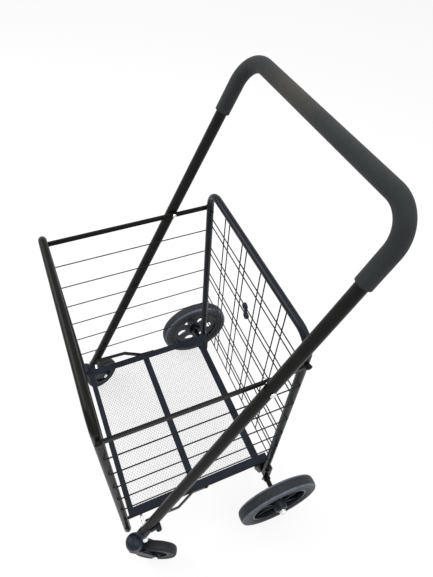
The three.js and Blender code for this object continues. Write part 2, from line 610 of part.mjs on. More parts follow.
const forkInner = CASTER_WIDE / 2 + FORK_PLAY;
const forkOuter = forkInner + FORK_CHEEK;
const casterCore = CASTER_R * CASTER_CORE;

function casterFork() {
  const neckBottom = CASTER_R * 2 - FORK_CLEAR - HOUSING_FLOOR_Z;
  const neckTop = -FIT;
  const profile = [[0, neckBottom], [HOUSING_R - 2, neckBottom], [HOUSING_R - 1, neckTop], [0, neckTop]]
    .map(([r, z]) => new THREE.Vector2(r, z));
  const neck = new THREE.LatheGeometry(profile, 16);
  neck.rotateX(Math.PI / 2);
  const pieces = [neck];
  const axleDrop = CASTER_R - HOUSING_FLOOR_Z;
  const foot = CASTER_AXLE_R + 4;
  const front = -0.6 * HOUSING_R;
  for (const inner of [forkInner, -forkOuter]) {
    const shape = new THREE.Shape([
      [front, neckTop], [0.75 * HOUSING_R, neckTop], [CASTER_TRAIL + foot, axleDrop + 2],
      [CASTER_TRAIL + foot - 2, axleDrop - foot + 1], [CASTER_TRAIL - foot + 2, axleDrop - foot],
      [front, neckBottom - 12],
    ].map(([y, z]) => new THREE.Vector2(y, z)));
    const cheek = new THREE.ExtrudeGeometry(shape, { depth: FORK_CHEEK, bevelEnabled: false });
    cheek.applyMatrix4(new THREE.Matrix4().makeBasis(V(0, 1, 0), V(0, 0, 1), V(1, 0, 0)));
    pieces.push(cheek.translate(inner, 0, 0));
  }
  const bore = rod(V(-forkOuter - 5, CASTER_TRAIL, axleDrop), V(forkOuter + 5, CASTER_TRAIL, axleDrop),
    CASTER_AXLE_R + HOLE_PLAY);
  return drill(fuse(...pieces), [bore]);
}

function spun(profile, segments) {
  const geometry = new THREE.LatheGeometry(profile.map(([r, x]) => new THREE.Vector2(r, x)), segments);
  return geometry.rotateZ(-Math.PI / 2);
}

function casterTyre() {
  const w = CASTER_WIDE / 2;
  return spun([[casterCore, -w + 2], [CASTER_R - 4, -w], [CASTER_R - 1, -w + 4], [CASTER_R, 0],
    [CASTER_R - 1, w - 4], [CASTER_R - 4, w], [casterCore, w - 2], [casterCore, -w + 2]], CASTER_SEGMENTS);
}

function casterHub() {
  const w = CASTER_WIDE / 2;
  const bore = CASTER_AXLE_R + FIT;
  const boss = CASTER_AXLE_R + CASTER_BOSS_WALL;
  const outer = casterCore - FIT;
  const inner = outer - 6;
  return spun([[bore, -w], [boss, -w], [boss, -4], [inner, -3], [inner, -w + 2], [outer, -w + 2],
    [outer, w - 2], [inner, w - 2], [inner, 3], [boss, 4], [boss, w], [bore, w], [bore, -w]],
    CASTER_SEGMENTS);
}

function casterAxle() {
  const w = forkOuter + FIT;
  const head = CASTER_AXLE_R + 2.5;
  return spun([[0, -w - 3], [head - 0.5, -w - 3], [head, -w], [CASTER_AXLE_R, -w], [CASTER_AXLE_R, w],
    [head, w], [head - 0.5, w + 3], [0, w + 3]], 10);
}

function addCaster(label, side) {
  const caster = new THREE.Group();
  caster.position.set(side * SWIVEL_X, SWIVEL_Y, HOUSING_FLOOR_Z);
  caster.rotation.z = -side * SWIVEL_TURN;
  group.add(caster);
  add(`caster_fork_${label}`, casterFork(), plastic(), caster);
  const wheel = new THREE.Group();
  wheel.position.set(0, CASTER_TRAIL, CASTER_R - HOUSING_FLOOR_Z);
  caster.add(wheel);
  add(`caster_tyre_${label}`, casterTyre(), rubber(), wheel);
  add(`caster_hub_${label}`, casterHub(), plastic(), wheel);
  add(`caster_axle_${label}`, casterAxle(), steel(), wheel);
}

// Rear wheels, built with the outer face towards +X

function wheelTyre() {
  const w = WHEEL_WIDE / 2;
  return spun([[RIM_R, -w + 3], [RIM_R + 4, -w + 1], [WHEEL_R - 6, -w], [WHEEL_R - 1.5, -w + 3],
    [WHEEL_R, -w + 7], [WHEEL_R - 1.6, -w + 8.5], [WHEEL_R, -w + 10], [WHEEL_R, w - 10],
    [WHEEL_R - 1.6, w - 8.5], [WHEEL_R, w - 7], [WHEEL_R - 1.5, w - 3], [WHEEL_R - 6, w],
    [RIM_R + 4, w - 1], [RIM_R, w - 3], [RIM_R, -w + 3]], WHEEL_SEGMENTS);
}

function wheelRim() {
  const w = WHEEL_WIDE / 2;
  const bore = AXLE_R + FIT;
  const outer = RIM_R - FIT;
  const inner = outer - RIM_WALL;
  const discOut = -RIM_DISC;
  const discIn = -2 * RIM_DISC;
  const body = spun([[bore, -w - RIM_BOSS_IN], [RIM_BOSS_R - 1, -w - RIM_BOSS_IN],
    [RIM_BOSS_R + 1, discIn], [inner, discIn],
    [inner, -w + 3], [outer, -w + 3], [outer, w - 3], [inner + 1, w - 3], [inner, discOut],
    [RIM_BOSS_R + 2, discOut], [RIM_BOSS_R - 2, w + RIM_BOSS_OUT], [bore, w + RIM_BOSS_OUT],
    [bore, -w - RIM_BOSS_IN]], WHEEL_SEGMENTS);
  const middle = (RIM_BOSS_R + inner) / 2;
  const web = inner - RIM_BOSS_R;
  const ribs = [];
  const holes = [];
  for (let i = 0; i < WHEEL_HOLES; i++) {
    const rib = new THREE.BoxGeometry(12, web + 5, 3);
    rib.translate(discOut + 5.5, middle, 0);
    ribs.push(rib.rotateX((i + 0.5) * 2 * Math.PI / WHEEL_HOLES));
    const hole = rod(V(discIn - 3, middle, 0), V(discOut + 3, middle, 0), WHEEL_HOLE_SHARE * web, 8);
    holes.push(hole.rotateX(i * 2 * Math.PI / WHEEL_HOLES));
  }
  return drill(fuse(body, ...ribs), holes);
}

// A pressed-on cap, built around the end of the axle.
function axleCap() {
  const bore = AXLE_R + FIT;
  return spun([[0, FIT], [bore, FIT], [bore, -6], [8.5, -6], [8.5, -0.5], [6.4, 3.2], [0, CAP_TALL]], 12);
}

function addRearWheel(label, side) {
  const wheel = new THREE.Group();
  wheel.position.set(side * WHEEL_X, REAR_Y, WHEEL_R);
  wheel.rotation.z = side > 0 ? 0 : Math.PI;
  group.add(wheel);
  add(`rear_tyre_${label}`, wheelTyre(), rubber(), wheel);
  add(`rear_rim_${label}`, wheelRim(), plastic(), wheel);
  const cap = add(`axle_cap_${label}`, axleCap(), steel(), wheel);
  cap.position.x = AXLE_END - WHEEL_X;
}

// Assembly

add('rear_frame_tube', frameTube(REAR_Y, REAR_TOP_Z, REAR_FOOT_Z, REAR_BEND_R), paint());
add('rear_panel_wires', framePanel(REAR_Y, REAR_TOP_Z, -1), wirePaint());
add('front_frame_tube', frameTube(FRONT_Y, FRONT_TOP_Z, FRONT_FOOT_Z, FRONT_BEND_R), paint());
add('front_panel_wires', framePanel(FRONT_Y, FRONT_TOP_Z, 1), wirePaint());
frameBolts('rear', REAR_Y);
frameBolts('front', FRONT_Y);
add('latch_clip', latchClip(), plastic());
add('rear_axle', axle(), paint());
add('tray_frame', trayFrame(), trayPaint());
add('tray_mesh_front', trayMesh(trayWindows[0]), trayPaint());
add('tray_mesh_rear', trayMesh(trayWindows[1]), trayPaint());
add('handle_tube', handleTube(), paint());
add('handle_grip', grip(), foam());

for (const [label, side] of Object.entries(SIDES)) {
  add(`axle_bracket_${label}`, axleBracket(side), paint());
  add(`top_rail_${label}`, topRail(side), paint());
  for (const level of levels) add(`side_wire_${level}_${label}`, sideWire(side, level), wirePaint());
  add(`handle_bolt_${label}`, pin(side, RAIL_IN - FIT, HANDLE_HALF + HANDLE_R + FIT, HANDLE_PIVOT_Y, RAIL_Z,
    { headR: 6, headTall: 3, endR: 4.2, endTall: 2.5 }), steel());
  add(`caster_housing_${label}`, casterHousing(side), plastic());
  add(`rest_stud_${label}`, restStud(side), steel());
  add(`link_${label}`, link(side), paint());
  add(`link_bolt_${label}`, linkBolt(side), paint());
  addCaster(label, side);
  addRearWheel(label, side);
}

export default group;
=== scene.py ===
"""Dresses the folding shopping cart: round tubes and wires, expanded tray mesh, wheels,
foam grip, plated fittings and the stage. Lengths are in metres."""
import json
import math

import bmesh
import bpy
from bpy.props import FloatProperty, FloatVectorProperty, IntProperty, PointerProperty
from mathutils import Matrix, Vector


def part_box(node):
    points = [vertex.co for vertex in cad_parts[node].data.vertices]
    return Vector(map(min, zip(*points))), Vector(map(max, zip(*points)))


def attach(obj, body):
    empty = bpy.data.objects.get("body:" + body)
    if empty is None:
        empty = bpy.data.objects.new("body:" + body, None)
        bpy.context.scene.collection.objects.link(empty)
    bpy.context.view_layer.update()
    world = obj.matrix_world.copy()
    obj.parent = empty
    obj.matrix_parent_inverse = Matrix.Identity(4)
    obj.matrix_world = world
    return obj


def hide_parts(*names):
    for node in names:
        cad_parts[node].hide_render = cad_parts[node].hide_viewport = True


bl_info = {
    "name": "Folding shopping cart",
    "version": (1, 0, 0),
    "blender": (4, 5, 0),
    "location": "View3D > Sidebar > Cart",
    "description": "Builds the visible pieces of a folding shopping cart over its CAD frame",
    "category": "Object",
}

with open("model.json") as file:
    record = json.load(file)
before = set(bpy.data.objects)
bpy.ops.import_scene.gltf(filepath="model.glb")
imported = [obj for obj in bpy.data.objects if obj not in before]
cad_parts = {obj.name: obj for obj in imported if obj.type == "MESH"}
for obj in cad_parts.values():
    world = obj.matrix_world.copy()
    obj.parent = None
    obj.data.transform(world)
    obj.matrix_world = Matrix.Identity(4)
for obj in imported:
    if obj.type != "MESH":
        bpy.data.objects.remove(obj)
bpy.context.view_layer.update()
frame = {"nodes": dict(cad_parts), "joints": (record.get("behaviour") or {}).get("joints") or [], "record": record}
joints = {j["name"]: j for j in frame["joints"]}
SIDES = {"right": 1, "left": -1}
LEVELS = range(1, 7)


# Sizes that come from the frame, or that several pieces share

def span(node, axis):
    """Lowest and highest value of a CAD node along one axis."""
    low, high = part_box(node)
    return low[axis], high[axis]


def pivot(joint):
    """A point on a joint's axis, at rest."""
    return Vector(joints[joint]["pos_m"])


TUBE_R = (span("rear_frame_tube", 1)[1] - span("rear_frame_tube", 1)[0]) / 2
HALF_WIDTH = span("rear_frame_tube", 0)[1] - TUBE_R
WIRE_R = (span("side_wire_1_right", 2)[1] - span("side_wire_1_right", 2)[0]) / 2
# The wires are drawn a little thinner than the solids, as the photograph shows them.
WIRE_SHOWN = 0.85 * WIRE_R
HANDLE_R = 0.011
HANDLE_LEAN = math.radians(26.34)
HANDLE_HALF = span("handle_tube", 0)[1] - HANDLE_R
CUT_EDGE = 0.0008
AXLE_ROD_R = 0.0045
TYRE_SEAT_R = 0.074
CASTER_WHEEL_HALF = 0.0115
FORK_GAP = 0.0016
FORK_CHEEK = 0.0035


class CartSizes(bpy.types.PropertyGroup):
    """Sizes of the dressed pieces"""
    tube_sides: IntProperty(name="Tube sides", description="Facets around each tube",
                            default=28, min=8, max=64)
    wire_sides: IntProperty(name="Wire sides", description="Facets around each wire",
                            default=10, min=6, max=24)
    rear_bend: FloatProperty(name="Rear bend",
                             description="Middle radius of the rear frame's bends",
                             default=0.040, min=0.02, max=0.08, subtype="DISTANCE",
                             unit="LENGTH")
    front_bend: FloatProperty(name="Front bend",
                              description="Middle radius of the front frame's bends",
                              default=0.028, min=0.02, max=0.08, subtype="DISTANCE",
                              unit="LENGTH")
    handle_bend: FloatProperty(name="Handle bend",
                               description="Middle radius of the handle's bends",
                               default=0.056, min=0.03, max=0.1, subtype="DISTANCE",
                               unit="LENGTH")
    weld_bead: FloatProperty(name="Weld bead", description="Half width of a wire crossing's weld",
                             default=0.0021, min=0.001, max=0.004, subtype="DISTANCE",
                             unit="LENGTH")
    diamond_long: FloatProperty(name="Diamond long way", description="Long pitch of the tray mesh",
                                default=0.0100, min=0.006, max=0.03, subtype="DISTANCE",
                                unit="LENGTH")
    diamond_short: FloatProperty(name="Diamond short way",
                                 description="Short pitch of the tray mesh",
                                 default=0.0068, min=0.004, max=0.02, subtype="DISTANCE",
                                 unit="LENGTH")
    strand_width: FloatProperty(name="Strand width", description="Width of one strand of the mesh",
                                default=0.00034, min=0.0002, max=0.002, subtype="DISTANCE",
                                unit="LENGTH")
    strand_thick: FloatProperty(name="Strand thickness", description="Sheet thickness of the mesh",
                                default=0.0005, min=0.0003, max=0.0015, subtype="DISTANCE",
                                unit="LENGTH")
    wheel_segments: IntProperty(name="Wheel segments", description="Facets around a rear wheel",
                                default=96, min=32, max=160)
    groove_depth: FloatProperty(name="Groove depth", description="Depth of the tyres' grooves",
                                default=0.0005, min=0.0003, max=0.003, subtype="DISTANCE",
                                unit="LENGTH")


class CartColours(bpy.types.PropertyGroup):
    """Colours of the finishes, as linear values"""
    coat: FloatVectorProperty(name="Tube coat", description="Satin black powder coat", size=3,
                              default=(0.0066, 0.0061, 0.0056), min=0, max=1, subtype="COLOR")
    wire: FloatVectorProperty(name="Wire coat", description="Black coat on the wires", size=3,
                              default=(0.0105, 0.0100, 0.0098), min=0, max=1, subtype="COLOR")
    tray: FloatVectorProperty(name="Tray coat", description="Blue-black textured coat", size=3,
                              default=(0.012, 0.015, 0.022), min=0, max=1, subtype="COLOR")
    plastic: FloatVectorProperty(name="Plastic", description="Moulded black plastic", size=3,
                                 default=(0.0052, 0.0068, 0.0098), min=0, max=1, subtype="COLOR")
    rubber: FloatVectorProperty(name="Tyre rubber", description="Grey-black rubber", size=3,
                                default=(0.0135, 0.0155, 0.019), min=0, max=1, subtype="COLOR")
    foam: FloatVectorProperty(name="Foam", description="Charcoal closed-cell foam", size=3,
                              default=(0.0145, 0.0172, 0.0186), min=0, max=1, subtype="COLOR")
    plating: FloatVectorProperty(name="Plating", description="Bright plated steel", size=3,
                                 default=(0.75, 0.76, 0.77), min=0, max=1, subtype="COLOR")


# Materials

def set_sockets(node, values):
    for socket, value in values.items():
        node.inputs[socket].default_value = value


def add_node(tree, kind, values=None, **settings):
    """A shader node with its settings and its sockets' values."""
    node = tree.nodes.new("ShaderNode" + kind)
    for name, value in settings.items():
        setattr(node, name, value)
    set_sockets(node, values or {})
    return node


def join(tree, *pairs):
    """Links each output to its input."""
    for source, target in pairs:
        tree.links.new(source, target)


def node_material(name):
    mat = bpy.data.materials.new(name)
    mat.use_nodes = True
    tree = mat.node_tree
    return mat, tree, tree.nodes["Principled BSDF"]


def noise(tree, scale, detail=3.0, roughness=0.5):
    """Noise over the object's own coordinates."""
    where = add_node(tree, "TexCoord")
    texture = add_node(tree, "TexNoise",
                       {"Scale": scale, "Detail": detail, "Roughness": roughness})
    join(tree, (where.outputs["Object"], texture.inputs["Vector"]))
    return texture.outputs["Fac"]


def colour_drift(tree, shader, colour, spread, texture):
    """Base colour that drifts a little lighter and darker."""
    ramp = add_node(tree, "ValToRGB")
    for element, place, gain in zip(ramp.color_ramp.elements, (0.3, 0.7),
                                    (1 - spread, 1 + spread)):
        element.position = place
        element.color = (*[min(1, part * gain) for part in colour], 1)
    join(tree, (texture, ramp.inputs["Fac"]), (ramp.outputs["Color"], shader.inputs["Base Color"]))


def roughness_drift(tree, shader, low, high, texture):
    spread = add_node(tree, "MapRange", {"To Min": low, "To Max": high})
    join(tree, (texture, spread.inputs["Value"]),
         (spread.outputs["Result"], shader.inputs["Roughness"]))


def grain(tree, shader, height, depth, strength):
    """Bump, over any bump that the shader already has."""
    bump = add_node(tree, "Bump", {"Distance": depth, "Strength": strength})
    earlier = [link.from_socket for link in shader.inputs["Normal"].links]
    for source in earlier:
        join(tree, (source, bump.inputs["Normal"]))
    join(tree, (height, bump.inputs["Height"]), (bump.outputs["Normal"], shader.inputs["Normal"]))


def powder_coat(name, colour, rough, peel_scale=900, peel_depth=0.00012, spread=0.18,
                shine=0.09, tint=(1, 1, 1)):
    """Powder coat: orange peel, slight patches in gloss and colour."""
    mat, tree, shader = node_material(name)
    colour_drift(tree, shader, colour, spread, noise(tree, 38, 4))
    roughness_drift(tree, shader, rough - 0.07, rough + 0.09, noise(tree, 120, 3))
    grain(tree, shader, noise(tree, peel_scale, 2), peel_depth, 0.55)
    set_sockets(shader, {"Specular IOR Level": shine, "Specular Tint": (*tint, 1)})
    return mat


def moulded_plastic(name, colour, rough):
    """Moulded plastic: fine spark texture and faint flow streaks."""
    mat, tree, shader = node_material(name)
    colour_drift(tree, shader, colour, 0.22, noise(tree, 60, 5, 0.6))
    roughness_drift(tree, shader, rough - 0.08, rough + 0.1, noise(tree, 200, 3))
    grain(tree, shader, noise(tree, 2400, 2), 0.00012, 0.5)
    set_sockets(shader, {"Specular IOR Level": 0.3, "Specular Tint": (0.62, 0.74, 0.95, 1)})
    return mat


def tyre_rubber(name, colour):
    """Rubber with a dull bloom and a little floor dust."""
    mat, tree, shader = node_material(name)
    colour_drift(tree, shader, colour, 0.3, noise(tree, 90, 6, 0.65))
    roughness_drift(tree, shader, 0.45, 0.68, noise(tree, 160, 4))
    grain(tree, shader, noise(tree, 1500, 3), 0.00018, 0.6)
    set_sockets(shader, {"Specular IOR Level": 0.2})
    return mat


def tyre_with_painted_light(name, colour):
    """Rear tyre rubber: dark by the rim, painted reflection on the wall, painted highlight at the shoulder."""
    mat = tyre_rubber(name, colour)
    tree = mat.node_tree
    shader = tree.nodes["Principled BSDF"]
    drift = shader.inputs["Base Color"].links[0].from_socket
    axle_line = pivot("rear_wheel_spin_right")
    where = add_node(tree, "TexCoord")
    from_axle = add_node(tree, "VectorMath", {1: (0, axle_line.y, axle_line.z)},
                         operation="SUBTRACT")
    flat = add_node(tree, "VectorMath", {1: (0, 1, 1)}, operation="MULTIPLY")
    radius = add_node(tree, "VectorMath", operation="LENGTH")
    reach = add_node(tree, "MapRange", {"From Min": TYRE_SEAT_R, "From Max": axle_line.z})
    # Share of the way from the rim to the tread, and how much lighter the rubber is painted there: the lift on the
    # wall is painted reflection, the peak at the shoulder a painted highlight.
    stops = ((0.0, 0.3), (0.3, 0.7), (0.5, 2.0), (0.78, 3.0), (0.86, 7.5), (0.95, 7.0),
             (0.962, 1.2))
    most = 8.0
    wall = add_node(tree, "ValToRGB")
    ramp = wall.color_ramp
    while len(ramp.elements) < len(stops):
        ramp.elements.new(0.5)
    for element, (place, gain) in zip(ramp.elements, stops):
        element.position = place
        element.color = (gain / most, gain / most, gain / most, 1)
    lift = add_node(tree, "VectorMath", operation="SCALE")
    set_sockets(lift, {"Scale": most})
    tint = add_node(tree, "Mix", {"Factor": 1.0}, data_type="RGBA", blend_type="MULTIPLY")
    join(tree, (where.outputs["Object"], from_axle.inputs[0]),
         (from_axle.outputs[0], flat.inputs[0]), (flat.outputs[0], radius.inputs[0]),
         (radius.outputs["Value"], reach.inputs["Value"]),
         (reach.outputs["Result"], wall.inputs["Fac"]), (wall.outputs["Color"], lift.inputs[0]),
         (drift, tint.inputs["A"]), (lift.outputs[0], tint.inputs["B"]),
         (tint.outputs["Result"], shader.inputs["Base Color"]))
    return mat


def painted_highlight_patch(tree, shader):
    """A faint, warm, paler patch on top of the padded bar: a painted highlight."""
    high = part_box("handle_grip")[1]
    middle = (-0.075, high.y - 0.03, high.z)
    drift = shader.inputs["Base Color"].links[0].from_socket
    where = add_node(tree, "TexCoord")
    away = add_node(tree, "VectorMath", {1: middle}, operation="DISTANCE")
    fade = add_node(tree, "MapRange", {"From Min": 0.105, "From Max": 0.02, "To Max": 0.8},
                    interpolation_type="SMOOTHSTEP")
    uneven = noise(tree, 26, 4, 0.6)
    share = add_node(tree, "Math", operation="MULTIPLY")
    tint = add_node(tree, "Mix", {"B": (0.052, 0.046, 0.034, 1)}, data_type="RGBA")
    join(tree, (where.outputs["Object"], away.inputs[0]),
         (away.outputs["Value"], fade.inputs["Value"]), (fade.outputs["Result"], share.inputs[0]),
         (uneven, share.inputs[1]), (share.outputs[0], tint.inputs["Factor"]),
         (drift, tint.inputs["A"]), (tint.outputs["Result"], shader.inputs["Base Color"]))


def closed_cell_foam(name, colour):
    """Foam skin: small cells, soft sheen, and a faint painted highlight patch along the top of the bar."""
    mat, tree, shader = node_material(name)
    colour_drift(tree, shader, colour, 0.26, noise(tree, 14, 5, 0.6))
    where = add_node(tree, "TexCoord")
    cells = add_node(tree, "TexVoronoi", {"Scale": 900})
    join(tree, (where.outputs["Object"], cells.inputs["Vector"]))
    grain(tree, shader, noise(tree, 240, 4), 0.0006, 0.35)
    grain(tree, shader, cells.outputs["Distance"], 0.0003, 0.5)
    # Painted highlight on top of the grip.
    painted_highlight_patch(tree, shader)
    set_sockets(shader, {"Roughness": 0.92, "Specular IOR Level": 0.25,
                         "Sheen Weight": 0.06, "Sheen Roughness": 0.6})
    return mat


def bright_plating(name, colour):
    """Plated steel with fine haze and handling marks."""
    mat, tree, shader = node_material(name)
    colour_drift(tree, shader, colour, 0.08, noise(tree, 150, 4))
    roughness_drift(tree, shader, 0.14, 0.34, noise(tree, 400, 4))
    grain(tree, shader, noise(tree, 900, 2), 0.00006, 0.4)
    set_sockets(shader, {"Metallic": 1.0})
    return mat


# Finishes by material slot, and the coats that single pieces wear instead.
FINISHES = {}


# Mesh making

def publish(name, bm, body, slot, stands_for=(), sharp=35, coat=None):
    """Turns a bmesh into a piece that rides on a body, in its slot's finish or in a coat."""
    bmesh.ops.recalc_face_normals(bm, faces=bm.faces)
    limit = math.radians(sharp)
    for face in bm.faces:
        face.smooth = True
    for edge in bm.edges:
        if len(edge.link_faces) == 2:
            edge.smooth = edge.calc_face_angle(0) < limit
    mesh = bpy.data.meshes.new(name)
    bm.to_mesh(mesh)
    bm.free()
    mesh.materials.append(FINISHES[coat or slot])
    piece = bpy.data.objects.new(name, mesh)
    bpy.context.scene.collection.objects.link(piece)
    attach(piece, body)
    if stands_for:
        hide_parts(*stands_for)
    return piece


def rounded_path(corners, bend, turn_step=math.radians(5)):
    """Straight runs joined by round bends, as points with their directions."""
    stations = []
    runs = [(b - a).normalized() for a, b in zip(corners, corners[1:])]
    stations.append((corners[0], runs[0]))
    for i in range(1, len(corners) - 1):
        before, after = runs[i - 1], runs[i]
        angle = before.angle(after)
        reach = bend * math.tan(angle / 2)
        axis = before.cross(after).normalized()
        inward = axis.cross(before)
        start = corners[i] - before * reach
        centre = start + inward * bend
        steps = max(2, round(angle / turn_step))
        for k in range(steps + 1):
            turn = Matrix.Rotation(angle * k / steps, 3, axis)
            stations.append((centre + turn @ (start - centre), turn @ before))
    stations.append((corners[-1], runs[-1]))
    return stations


def sweep(bm, stations, radius, sides, end_round=0.0, bore=0.0, bore_depth=0.01):
    """A round tube or wire along the stations, with soft or open ends."""
    previous = stations[0][1]
    normal = previous.orthogonal().normalized()
    placed = []
    for point, direction in stations:
        if previous.angle(direction, 0) > 1e-6:
            normal = previous.rotation_difference(direction) @ normal
        normal = (normal - direction * normal.dot(direction)).normalized()
        placed.append((point, direction, normal.copy()))
        previous = direction

    def ring(point, direction, up, r):
        side = direction.cross(up).normalized()
        return [bm.verts.new(point + (up * math.cos(a) + side * math.sin(a)) * r)
                for a in (2 * math.pi * i / sides for i in range(sides))]

    def end_rings(station, sign):
        point, direction, up = station
        out = []
        if bore > 0:
            out.append(ring(point + direction * sign * bore_depth, direction, up, bore))
            out.append(ring(point, direction, up, bore))
        if end_round > 0:
            inner = max(radius - end_round, bore + 1e-5)
            for k in range(4):
                rise = math.sin(math.pi / 2 * k / 3)
                out.append(ring(point + direction * sign * end_round * (1 - rise), direction, up,
                                inner + (radius - inner) * rise))
        else:
            out.append(ring(point, direction, up, radius))
        return out

    rings = end_rings(placed[0], 1)
    rings.extend(ring(*station, radius) for station in placed[1:-1])
    rings.extend(reversed(end_rings(placed[-1], -1)))
    for a, b in zip(rings, rings[1:]):
        for i in range(sides):
            j = (i + 1) % sides
            bm.faces.new((a[i], a[j], b[j], b[i]))
    bm.faces.new(rings[0])
    bm.faces.new(rings[-1])


def straight(bm, a, b, radius, sides, end_round=0.0):
    direction = (b - a).normalized()
    sweep(bm, [(a, direction), (b, direction)], radius, sides, end_round)


def soften(profile, radius, steps=3, closed=False):
    """Rounds the corners of a profile of flat points."""
    points = [Vector(p) for p in profile]
    out = []
    count = len(points)
    for i, corner in enumerate(points):
        if not closed and i in (0, count - 1):
            out.append(corner)
            continue
        before = points[i - 1] - corner
        after = points[(i + 1) % count] - corner
        reach = min(radius, before.length * 0.45, after.length * 0.45)
        if reach < 1e-6 or before.angle(after, math.pi) > math.radians(172):
            out.append(corner)
            continue
        start = corner + before.normalized() * reach
        end = corner + after.normalized() * reach
        for k in range(steps + 1):
            t = k / steps
            out.append(start * (1 - t) ** 2 + corner * 2 * t * (1 - t) + end * t ** 2)
    return out


def lathe(bm, profile, segments, place, edge=0.0, steps=3, closed=False):
    """Turns (radius, height) points, with corners softened by edge, about local Z."""
    if edge:
        profile = soften(profile, edge, steps, closed)
    rings = []
    for r, h in profile:
        if r < 1e-6:
            rings.append([bm.verts.new(place @ Vector((0, 0, h)))])
        else:
            rings.append([bm.verts.new(place @ Vector((r * math.cos(a), r * math.sin(a), h)))
                          for a in (2 * math.pi * i / segments for i in range(segments))])
    pairs = list(zip(rings, rings[1:]))
    if closed:
        pairs.append((rings[-1], rings[0]))
    for a, b in pairs:
        for i in range(segments):
            j = (i + 1) % segments
            if len(a) == 1 and len(b) == 1:
                continue
            if len(a) == 1:
                bm.faces.new((a[0], b[i], b[j]))
            elif len(b) == 1:
                bm.faces.new((a[i], b[0], a[j]))
            else:
                bm.faces.new((a[i], b[i], b[j], a[j]))


def turned(name, body, slot, stands_for, profile, segments, place, edge=0.0, closed=False,
           sharp=35, coat=None):
    """A piece that is a single turned shape."""
    bm = bmesh.new()
    lathe(bm, profile, segments, place, edge, closed=closed)
    publish(name, bm, body, slot, stands_for, sharp, coat)


def plate(bm, outline, holes, thick, edge, place, corner=0.0, steps=3):
    """A flat plate with bevelled edges; outline and holes are lists of (x, y)."""
    if corner:
        outline = soften(outline, corner, steps, closed=True)
    curve = bpy.data.curves.new("outline", "CURVE")
    curve.dimensions = "2D"
    curve.fill_mode = "BOTH"
    curve.extrude = thick / 2 - edge
    curve.bevel_depth = edge
    curve.bevel_resolution = 2
    curve.offset = -edge
    for loop in (outline, *holes):
        spline = curve.splines.new("POLY")
        spline.points.add(len(loop) - 1)
        for point, (x, y) in zip(spline.points, loop):
            point.co = (x, y, 0, 1)
        spline.use_cyclic_u = True
    holder = bpy.data.objects.new("outline", curve)
    bpy.context.scene.collection.objects.link(holder)
    graph = bpy.context.evaluated_depsgraph_get()
    mesh = bpy.data.meshes.new_from_object(holder.evaluated_get(graph))
    mesh.transform(place)
    bm.from_mesh(mesh)
    bpy.data.meshes.remove(mesh)
    bpy.data.objects.remove(holder)
    bpy.data.curves.remove(curve)


def circle(x, y, radius, count):
    return [(x + radius * math.cos(a), y + radius * math.sin(a))
            for a in (2 * math.pi * i / count for i in range(count))]


def along_x(x, y, z, side=1):
    """Local Z becomes the cart's outward X."""
    return Matrix.Translation((x, y, z)) @ Matrix.Rotation(side * math.pi / 2, 4, "Y")


def rivet_profile(head_r, head_tall, foot=0.0):
    """A low domed head."""
    return soften([(head_r, -foot), (head_r, head_tall * 0.35),
                   (head_r * 0.72, head_tall * 0.86), (head_r * 0.35, head_tall),
                   (0, head_tall * 1.02)], head_tall * 0.3, 3)


# Pieces

def frame_tube(context, node, body):
    """An upside-down U of tube with open feet."""
    sizes = context.scene.cart_sizes
    wall = 0.0012
    y0, y1 = span(node, 1)
    foot, top = span(node, 2)
    y = (y0 + y1) / 2
    top -= TUBE_R
    corners = [Vector((x, y, z)) for x, z in ((-HALF_WIDTH, foot), (-HALF_WIDTH, top),
                                              (HALF_WIDTH, top), (HALF_WIDTH, foot))]
    rear = body == "rear_frame"
    bend = sizes.rear_bend if rear else sizes.front_bend
    bm = bmesh.new()
    sweep(bm, rounded_path(corners, bend), TUBE_R, sizes.tube_sides, CUT_EDGE, bore=TUBE_R - wall)
    # The rear frame's tube wears the coat with a painted bluish reflection.
    publish(node + "_round", bm, body, "black_paint", [node],
            coat="frame_coat_with_painted_reflection" if rear else None)


def panel_wires(context, node, body):
    """Paired upright wires with paired cross wires welded on their inner side."""
    sizes = context.scene.cart_sizes
    low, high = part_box(node)
    rear = body == "rear_frame"
    column_y = high.y - WIRE_R if rear else low.y + WIRE_R
    row_y = low.y + WIRE_R if rear else high.y - WIRE_R
    step, gap, foot = 0.080, 0.020, low.z + 0.009
    top_row = pivot("fold").z - 0.0205
    row_step = (top_row - foot - 0.054) / 4
    into_tube = 0.0004
    bm = bmesh.new()
    columns = [(c - 1.5) * step + h * gap / 2 for c in range(4) for h in (-1, 1)]
    rows = [foot] + [top_row - r * row_step + h * gap / 2 for r in range(5) for h in (-1, 1)]
    for x in columns:
        straight(bm, Vector((x, column_y, low.z)), Vector((x, column_y, high.z + into_tube)),
                 WIRE_SHOWN, sizes.wire_sides, 0.0004)
    for z in rows:
        straight(bm, Vector((low.x - into_tube, row_y, z)),
                 Vector((high.x + into_tube, row_y, z)), WIRE_SHOWN, sizes.wire_sides, 0.0002)
    bead, bead_deep, end_weld = sizes.weld_bead, 0.0011, (0.0014, 0.0021, 0.0021)
    welds = [((x, (column_y + row_y) / 2, z), (bead, bead_deep, bead))
             for x in columns for z in rows]
    welds += [((x, row_y, z), end_weld) for z in rows for x in (low.x, high.x)]
    for centre, half in welds:
        bmesh.ops.create_icosphere(bm, subdivisions=1, radius=1, matrix=Matrix.Translation(centre)
                                   @ Matrix.Diagonal((*half, 1)))
    publish(node + "_round", bm, body, "wire_paint", [node], 60)


